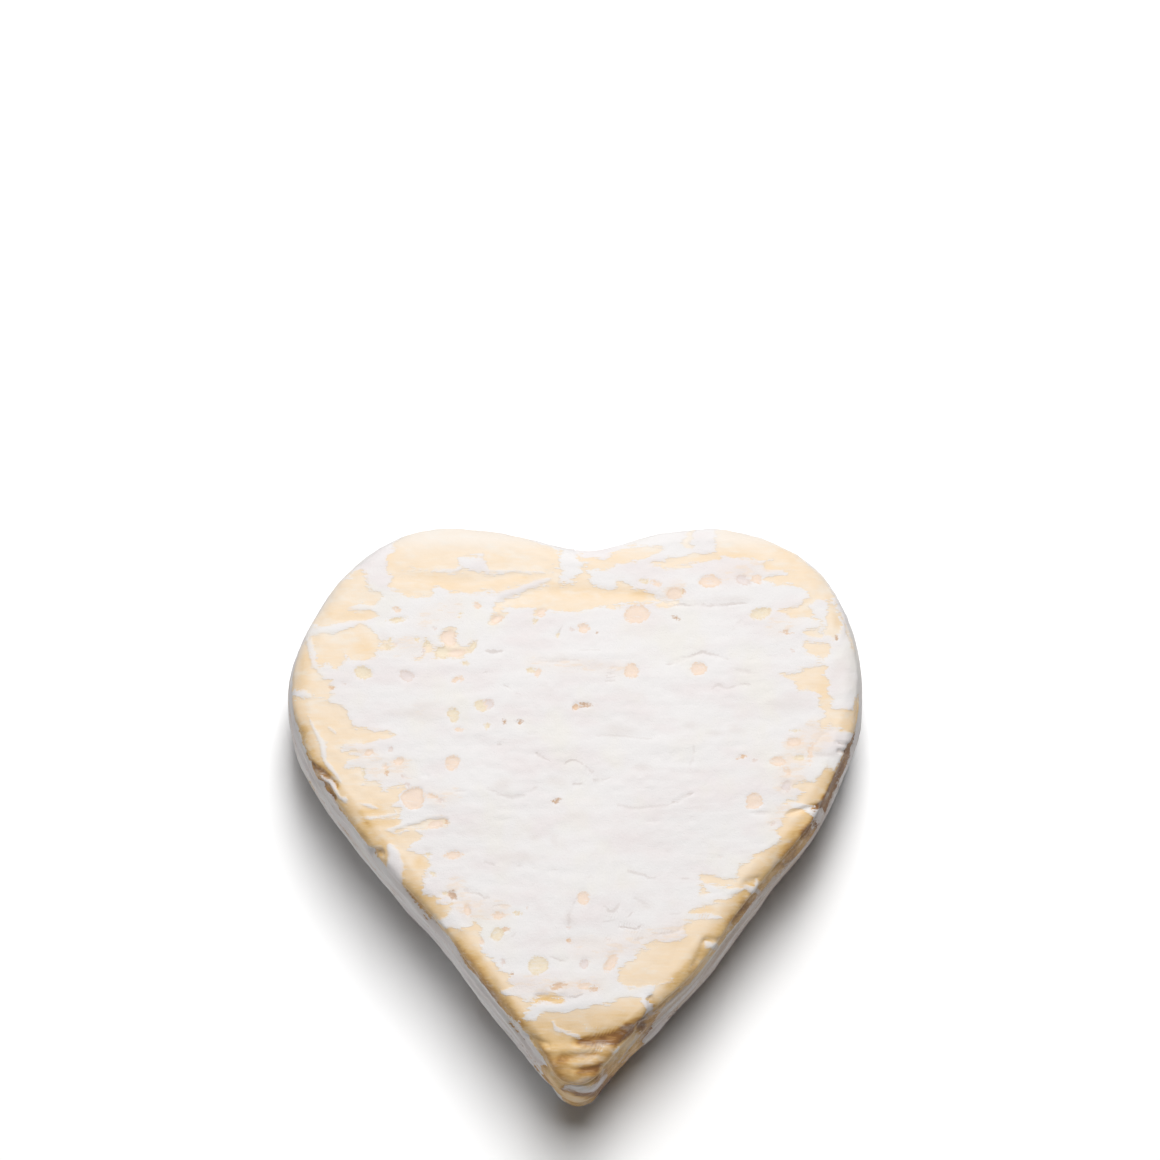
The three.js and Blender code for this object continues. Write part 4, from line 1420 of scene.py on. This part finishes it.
class Recipe:
    """One material, built up node by node."""

    MIX_SHARE, MIX_UNDER, MIX_OVER, MIX_COLOUR = 0, 6, 7, 2     # a Mix node's sockets

    def __init__(self, name: str) -> None:
        """Start a material with nothing in it.

        Args:
            name: what to call it.
        """
        self.material = bpy.data.materials.new(name)
        self.material.use_nodes = True
        self._tree = self.material.node_tree
        self._tree.nodes.clear()

    def node(self, kind: str, settings: dict, sockets: dict) -> bpy.types.Node:
        """Add any node.

        Args:
            kind: the node's type.
            settings: its properties, set first. A ramp's stops are given under
                "stops", as (place, colour) pairs.
            sockets: values or links for its inputs, by name or by number.

        Returns:
            The new node.
        """
        made = self._tree.nodes.new(kind)
        for name, value in settings.items():
            if name == "stops":
                self._set_stops(made.color_ramp, value)
            else:
                setattr(made, name, value)
        for name, value in sockets.items():
            if isinstance(value, Field):
                value = value.socket
            if isinstance(value, bpy.types.NodeSocket):
                self._tree.links.new(value, made.inputs[name])
            else:
                made.inputs[name].default_value = value
        return made

    @staticmethod
    def _set_stops(ramp: bpy.types.ColorRamp, stops: list[tuple[float, Colour]]) -> None:
        """Give a ramp its stops.

        Args:
            ramp: the ramp.
            stops: each stop's place and colour.
        """
        while len(ramp.elements) < len(stops):
            ramp.elements.new(0.5)
        for element, (place, colour) in zip(ramp.elements, stops):
            element.position = place
            element.color = (*colour, 1.0)

    def field(self, kind: str, settings: dict, sockets: dict, output: str) -> Field:
        """Add a node and give one of its outputs as a number."""
        return Field(self, self.node(kind, settings, sockets).outputs[output])

    def sum(self, operation: str, *terms: "Field | float") -> Field:
        """Add one Math node."""
        return self.field("ShaderNodeMath", {"operation": operation},
                          dict(enumerate(terms)), "Value")

    def noise(self, size: tuple[float, float, float], detail: float) -> Field:
        """Add noise between 0 and 1.

        Args:
            size: the length of one blotch along each axis, in millimetres.
            detail: how many finer layers it has.

        Returns:
            The noise.
        """
        place = self.node("ShaderNodeTexCoord", {}, {}).outputs["Object"]
        stretch = tuple(1.0 / (s * MM) for s in size)
        scaled = self.node("ShaderNodeVectorMath", {"operation": "MULTIPLY"},
                           {0: place, 1: stretch}).outputs["Vector"]
        return self.field("ShaderNodeTexNoise", {}, {
            "Vector": scaled, "Scale": 1.0, "Detail": detail, "Roughness": 0.55}, "Fac")

    def layer(self, layer: Layer) -> Field:
        """Read one layer of the rind."""
        return self.field("ShaderNodeAttribute", {"attribute_name": layer.value}, {}, "Fac")

    def surface(self, sockets: dict) -> bpy.types.Material:
        """Close the material with one shader.

        Args:
            sockets: values or links for the shader's inputs, by name.

        Returns:
            The finished material.
        """
        shader = self.node("ShaderNodeBsdfPrincipled", {}, sockets)
        self.node("ShaderNodeOutputMaterial", {}, {"Surface": shader.outputs["BSDF"]})
        return self.material

    def blend(self, share: "Field | float", under: object, over: object) -> bpy.types.NodeSocket:
        """Mix two colours.

        Args:
            share: how much of the second colour to take.
            under: the first colour, or a link to one.
            over: the second colour, or a link to one.

        Returns:
            The mixed colour's socket.
        """
        made = self.node("ShaderNodeMix", {"data_type": "RGBA"}, {
            self.MIX_SHARE: share, self.MIX_UNDER: self._full(under),
            self.MIX_OVER: self._full(over)})
        return made.outputs[self.MIX_COLOUR]

    @staticmethod
    def _full(colour: object) -> object:
        """Give a plain colour its fourth number."""
        return (*colour, 1.0) if isinstance(colour, tuple) else colour

    def coats(self, base: object, *coats: "tuple[Field, object]") -> bpy.types.NodeSocket:
        """Lay coats of colour over one another.

        Args:
            base: the colour below them all, or a link to one.
            *coats: how much each coat covers, and its colour or a link to one.

        Returns:
            The final colour's socket.
        """
        for share, colour in coats:
            base = self.blend(share, base, colour)
        return base

    def ramp(self, value: Field, stops: list[tuple[float, Colour]]) -> bpy.types.NodeSocket:
        """Turn a number into a colour by its stops."""
        made = self.node("ShaderNodeValToRGB", {"stops": stops}, {"Fac": value})
        return made.outputs["Color"]


def pigment(red: int, green: int, blue: int) -> Colour:
    """Turn a screen colour, as it looks in full light, into a pigment.

    Args:
        red: from 0 to 255.
        green: from 0 to 255.
        blue: from 0 to 255.

    Returns:
        The pigment's linear colour, which full light brings back to the screen one.
    """
    def linear(value: int) -> float:
        """Undo the screen's curve.

        Args:
            value: from 0 to 255.

        Returns:
            The share of light.
        """
        share = value / 255.0
        bright = ((share + 0.055) / 1.055) ** 2.4
        return (share / 12.92 if share <= 0.04045 else bright) / FULL_LIGHT
    return linear(red), linear(green), linear(blue)




class Weave(Enum):
    """A noise of the rind: the size of its blotches in millimetres, and its detail."""

    FINE = ((0.45, 0.45, 0.45), 3.0)
    TEETH = ((1.9, 0.4, 0.7), 3.0)
    JAGS = ((3.2, 1.1, 1.6), 3.0)
    GRAIN = ((0.2, 0.2, 0.2), 2.0)
    CLOUD = ((10.0, 4.8, 6.0), 4.0)
    DRIFT = ((9.0, 11.0, 9.0), 3.0)
    THREAD = ((5.2, 0.44, 0.8), 4.0)
    VEIL = ((4.5, 1.8, 3.0), 5.0)


Weaves = dict[Weave, Field]


@dataclass(frozen=True)
class RindFinish:
    """The look of the rind: velvety mould, waxy bare rind, pits and splits."""

    mould: Colour = pigment(241, 238, 237)
    mould_pink: Colour = pigment(239, 232, 231)
    mould_cream: Colour = pigment(241, 237, 230)
    blush: Colour = pigment(243, 225, 208)
    bruise: Colour = pigment(228, 219, 215)
    # Painted shade in the splits.
    split: Colour = pigment(216, 207, 203)
    worn: Colour = pigment(206, 187, 171)
    # Paler rind on the far rims: thin bloom, and painted light where the rims face the key light.
    haze: Colour = pigment(242, 234, 225)
    lip: Colour = pigment(202, 155, 90)
    mould_rough: float = 0.9
    bare_rough: float = 0.58
    gloss: float = 0.28
    bump_strength: float = 0.5
    bump_height: float = 0.25        # in millimetres
    # The deep end of this scale is partly rind in painted shade, under the rim and in folds.
    bare_stops: tuple = (
        (0.0, pigment(246, 234, 219)), (0.3, pigment(244, 223, 196)),
        (0.52, pigment(243, 214, 174)), (0.7, pigment(232, 195, 137)),
        (0.86, pigment(202, 155, 90)), (1.0, pigment(148, 104, 62)))
    pit_stops: tuple = (
        (0.0, pigment(234, 223, 220)), (0.3, pigment(246, 225, 208)),
        (0.55, pigment(241, 228, 204)), (0.75, pigment(232, 202, 176)),
        (1.0, pigment(208, 180, 158)))

    def make(self) -> bpy.types.Material:
        """Build the material.

        Returns:
            The finished material.
        """
        recipe = Recipe("rind")
        weaves = {weave: recipe.noise(*weave.value) for weave in Weave}
        fine, teeth, jags = (weaves[w] - 0.5 for w in (Weave.FINE, Weave.TEETH, Weave.JAGS))
        ragged = fine * 0.9 + teeth * 1.9 + jags * 2.2
        depth = recipe.layer(Layer.BARE) + ragged * (1.0 - recipe.layer(Layer.THREAD) * 0.8)
        bare = depth.eased(-0.15, 0.2)
        thin = depth.eased(-0.6, 0.1) * 0.3
        rind = self._bare_rind(recipe, weaves)
        colour = recipe.coats(self._mould(recipe, weaves), (thin, rind), (bare, rind),
                              self._pits(recipe, weaves))
        rough = self.mould_rough - (self.mould_rough - self.bare_rough) * bare + fine * 0.1
        bump = recipe.node("ShaderNodeBump", {}, {
            "Strength": self.bump_strength, "Distance": self.bump_height * MM,
            "Height": self._pores(weaves, bare)})
        return recipe.surface({"Base Color": colour, "Roughness": rough,
                               "Specular IOR Level": self.gloss,
                               "Normal": bump.outputs["Normal"]})

    def _mould(self, recipe: Recipe, weaves: Weaves) -> bpy.types.NodeSocket:
        """Colour the mould: clouds, bruises with one patch of painted shade, wear, painted shade in
        the splits, and blushes.

        Args:
            recipe: the material it is made in.
            weaves: the noises of the rind.

        Returns:
            The colour's socket.
        """
        fine, teeth, jags = weaves[Weave.FINE], weaves[Weave.TEETH], weaves[Weave.JAGS]
        cloud, thread = weaves[Weave.CLOUD], weaves[Weave.THREAD]
        side = abs(recipe.layer(Layer.SPLIT_SIDE) + (fine - 0.5) * 2.4)
        # Painted shade along the splits.
        split = side.eased(1.6, 0.3) * recipe.layer(Layer.SPLIT) * jags.eased(0.3, 0.6)
        wear = recipe.layer(Layer.WEAR) * 1.3 + (teeth - 0.5) * 0.5
        blush = recipe.layer(Layer.BLUSH)
        specks = (jags * 0.6 + teeth * 0.4 + blush * 0.16).eased(0.58, 0.66)
        specks = specks * blush.eased(0.0, 0.3)
        return recipe.coats(
            self.mould,
            (cloud.eased(0.4, 0.7), self.mould_pink),
            (weaves[Weave.DRIFT].eased(0.5, 0.72) * 0.7, self.mould_cream),
            (recipe.layer(Layer.BRUISE) * 0.75 * (cloud * 0.5 + 0.7), self.bruise),
            (thread.eased(0.56, 0.8) * 0.08, self.bruise),
            (wear.eased(0.1, 0.9), self.worn),
            (split, self.split),
            (blush * 0.35, self.blush),
            (specks * 0.55, self.blush))

    def _bare_rind(self, recipe: Recipe, weaves: Weaves) -> bpy.types.NodeSocket:
        """Colour the bare rind, with its painted shade and what is left of the mould on it.

        Args:
            recipe: the material it is made in.
            weaves: the noises of the rind.

        Returns:
            The colour's socket.
        """
        cloud, teeth = weaves[Weave.CLOUD], weaves[Weave.TEETH]
        glow = recipe.layer(Layer.TONE_AND_SHADE) + (cloud - 0.5) * 0.4 + (teeth - 0.5) * 0.25
        return recipe.coats(
            recipe.ramp(glow, list(self.bare_stops)),
            (recipe.layer(Layer.HAZE_AND_LIGHT), self.haze),
            (weaves[Weave.VEIL].eased(0.5, 0.7) * 0.38, self.mould_cream),
            (weaves[Weave.THREAD].eased(0.55, 0.75) * 0.25, self.mould_cream))

    def _pits(self, recipe: Recipe, weaves: Weaves) -> tuple[Field, bpy.types.NodeSocket]:
        """Colour the floors of the pits, which are darker at their lips.

        Args:
            recipe: the material it is made in.
            weaves: the noises of the rind.

        Returns:
            How much of each place is a pit's floor, and the colour's socket.
        """
        fine, teeth = weaves[Weave.FINE], weaves[Weave.TEETH]
        pit = recipe.layer(Layer.PIT) + (fine - 0.5) * 1.0 + (teeth - 0.5) * 0.9
        pit = pit.eased(-0.14, 0.24) * (1.0 - teeth.eased(0.54, 0.72) * 0.5)
        tint = recipe.layer(Layer.TINT) + (fine - 0.5) * 0.25
        lip = abs(recipe.layer(Layer.PIT) - 0.1).eased(0.34, 0.02) * pit * 0.14
        floor = recipe.blend(lip, recipe.ramp(tint, list(self.pit_stops)), self.lip)
        return pit, floor

    @staticmethod
    def _pores(weaves: Weaves, bare: Field) -> Field:
        """Give the finest relief, which is fainter on bare rind.

        Args:
            weaves: the noises of the rind.
            bare: how bare each place is.

        Returns:
            The relief, as a share of its full height.
        """
        relief = weaves[Weave.GRAIN] * 0.35 * (1.0 - bare * 0.8)
        relief = relief + weaves[Weave.THREAD] * 0.15
        relief = relief + weaves[Weave.FINE] * 0.4 * (1.0 - bare * 0.5)
        return relief - bare * 0.14


@dataclass(frozen=True)
class FloorFinish:
    """A plain matt white floor."""

    colour: Colour = (0.95, 0.95, 0.95)
    rough: float = 0.9
    gloss: float = 0.1

    def make(self) -> bpy.types.Material:
        """Build the material.

        Returns:
            The finished material.
        """
        return Recipe("white floor").surface({
            "Base Color": (*self.colour, 1.0), "Roughness": self.rough,
            "Specular IOR Level": self.gloss})


# ---------------------------------------------------------------------------
# The cheese and its studio
# ---------------------------------------------------------------------------

def add_object(name: str, data: object) -> bpy.types.Object:
    """Put an object into the scene.

    Args:
        name: what to call it.
        data: its mesh, light or camera.

    Returns:
        The new object.
    """
    made = bpy.data.objects.new(name, data)
    bpy.context.scene.collection.objects.link(made)
    return made


@dataclass(frozen=True)
class Cheese:
    """The whole cheese, as one closed skin."""

    form: HeartForm
    finish: RindFinish = RindFinish()

    def build(self) -> bpy.types.Object:
        """Make the skin, dress it and stand it in for the plain solid.

        Returns:
            The finished object.
        """
        shell = HeartShell(self.form)
        rind = Rind(shell)
        mesh = bpy.data.meshes.new("cheese")
        mesh.from_pydata((rind.relieved() * MM).tolist(), [], shell.faces)
        mesh.shade_smooth()
        for layer, values in rind.layers.items():
            kept = mesh.attributes.new(layer.value, "FLOAT", "POINT")
            kept.data.foreach_set("value", values.astype(np.float32))
        chart = mesh.uv_layers.new(name="OFBake")
        chart.data.foreach_set("uv", shell.charts.astype(np.float32).ravel())
        mesh.materials.append(self.finish.make())
        piece = add_object("cheese", mesh)
        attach(piece, "root")
        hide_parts(NODE)
        return piece


@dataclass(frozen=True)
class Softbox:
    """A studio lamp that points at the cheese."""

    name: str
    place: tuple[float, float, float]
    width: float
    height: float
    power: float

    def build(self, aim: Vector) -> bpy.types.Object:
        """Hang the lamp and turn it towards its aim.

        Args:
            aim: the place that it points at, from which its own is measured.

        Returns:
            The lamp.
        """
        light = bpy.data.lights.new(self.name, "AREA")
        light.shape = "RECTANGLE"
        light.size = self.width
        light.size_y = self.height
        light.energy = self.power
        lamp = add_object(self.name, light)
        lamp.location = aim + Vector(self.place)
        lamp.rotation_euler = (aim - lamp.location).to_track_quat("-Z", "Y").to_euler()
        return lamp


@dataclass(frozen=True)
class Studio:
    """A white floor, soft light from behind, and a camera that looks steeply down."""

    floor_side: float = 4.0
    floor_drop: float = 0.05 * MM    # keeps the floor clear of the underside
    sky: float = 0.05
    key: Softbox = Softbox("key", (0.05, 0.44, 1.1), 0.36, 0.75, 17.6)
    fill: Softbox = Softbox("fill", (-0.85, -0.65, 0.4), 0.6, 0.6, 1.3)
    lens: float = 300.0
    sensor: float = 36.0
    elevation: float = 81.3
    frame_width: float = 0.2007      # what the frame takes in across the cheese
    rise: float = 0.0409             # how far the frame's middle lies above the cheese's
    aside: float = 0.0006            # and how far to its right

    def lay_floor(self) -> bpy.types.Object:
        """Lay the floor just under the cheese.

        Returns:
            The floor.
        """
        half = self.floor_side / 2.0
        plan = ((-half, -half), (half, -half), (half, half), (-half, half))
        corners = [(x, y, -self.floor_drop) for x, y in plan]
        mesh = bpy.data.meshes.new("floor")
        mesh.from_pydata(corners, [], [(0, 1, 2, 3)])
        mesh.materials.append(FloorFinish().make())
        floor = add_object("floor", mesh)
        return floor

    def light(self, aim: Vector) -> None:
        """Hang the lamps and fill the air with even light.

        Args:
            aim: the place that the lamps point at.
        """
        world = bpy.data.worlds.new("studio")
        world.use_nodes = True
        sky = world.node_tree.nodes["Background"]
        sky.inputs["Color"].default_value = (1.0, 1.0, 1.0, 1.0)
        sky.inputs["Strength"].default_value = self.sky
        bpy.context.scene.world = world
        self.key.build(aim)
        self.fill.build(aim)

    def place_camera(self, aim: Vector) -> bpy.types.Object:
        """Place the camera so that the cheese sits low in a square frame.

        Args:
            aim: the middle of the cheese.

        Returns:
            The camera.
        """
        data = bpy.data.cameras.new("camera")
        data.lens = self.lens
        data.sensor_width = self.sensor
        data.clip_start = 0.01
        away = self.frame_width * self.lens / self.sensor
        tilt = math.radians(self.elevation)
        outward = Vector((0.0, -math.cos(tilt), math.sin(tilt)))
        upward = Vector((0.0, math.sin(tilt), math.cos(tilt)))
        camera = add_object("camera", data)
        aim = aim + Vector((self.aside, 0.0, 0.0))
        camera.location = aim + outward * away
        look = aim + upward * self.rise - camera.location
        camera.rotation_euler = look.to_track_quat("-Z", "Y").to_euler()
        bpy.context.scene.camera = camera
        return camera


def main() -> None:
    """Build the cheese, then its studio, and note the cheese's faces and size."""
    logging.basicConfig(level=logging.INFO, format="%(name)s: %(message)s")
    low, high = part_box(NODE)
    width, length, thickness = ((h - l) / MM for l, h in zip(low, high))
    form = HeartForm(width, length, thickness)
    aim = Vector([(l + h) / 2.0 for l, h in zip(low, high)])

    studio = Studio()
    studio.place_camera(aim)
    piece = Cheese(form).build()
    log.info("%s: %d faces, %.1f x %.1f x %.1f mm", piece.name, len(piece.data.polygons),
             *(v / MM for v in piece.dimensions))
    studio.lay_floor()
    studio.light(aim)
    log.info("studio: floor, two lamps and the camera")

    bpy.context.scene.view_settings.view_transform = "Standard"


if __name__ == "__main__":
    main()
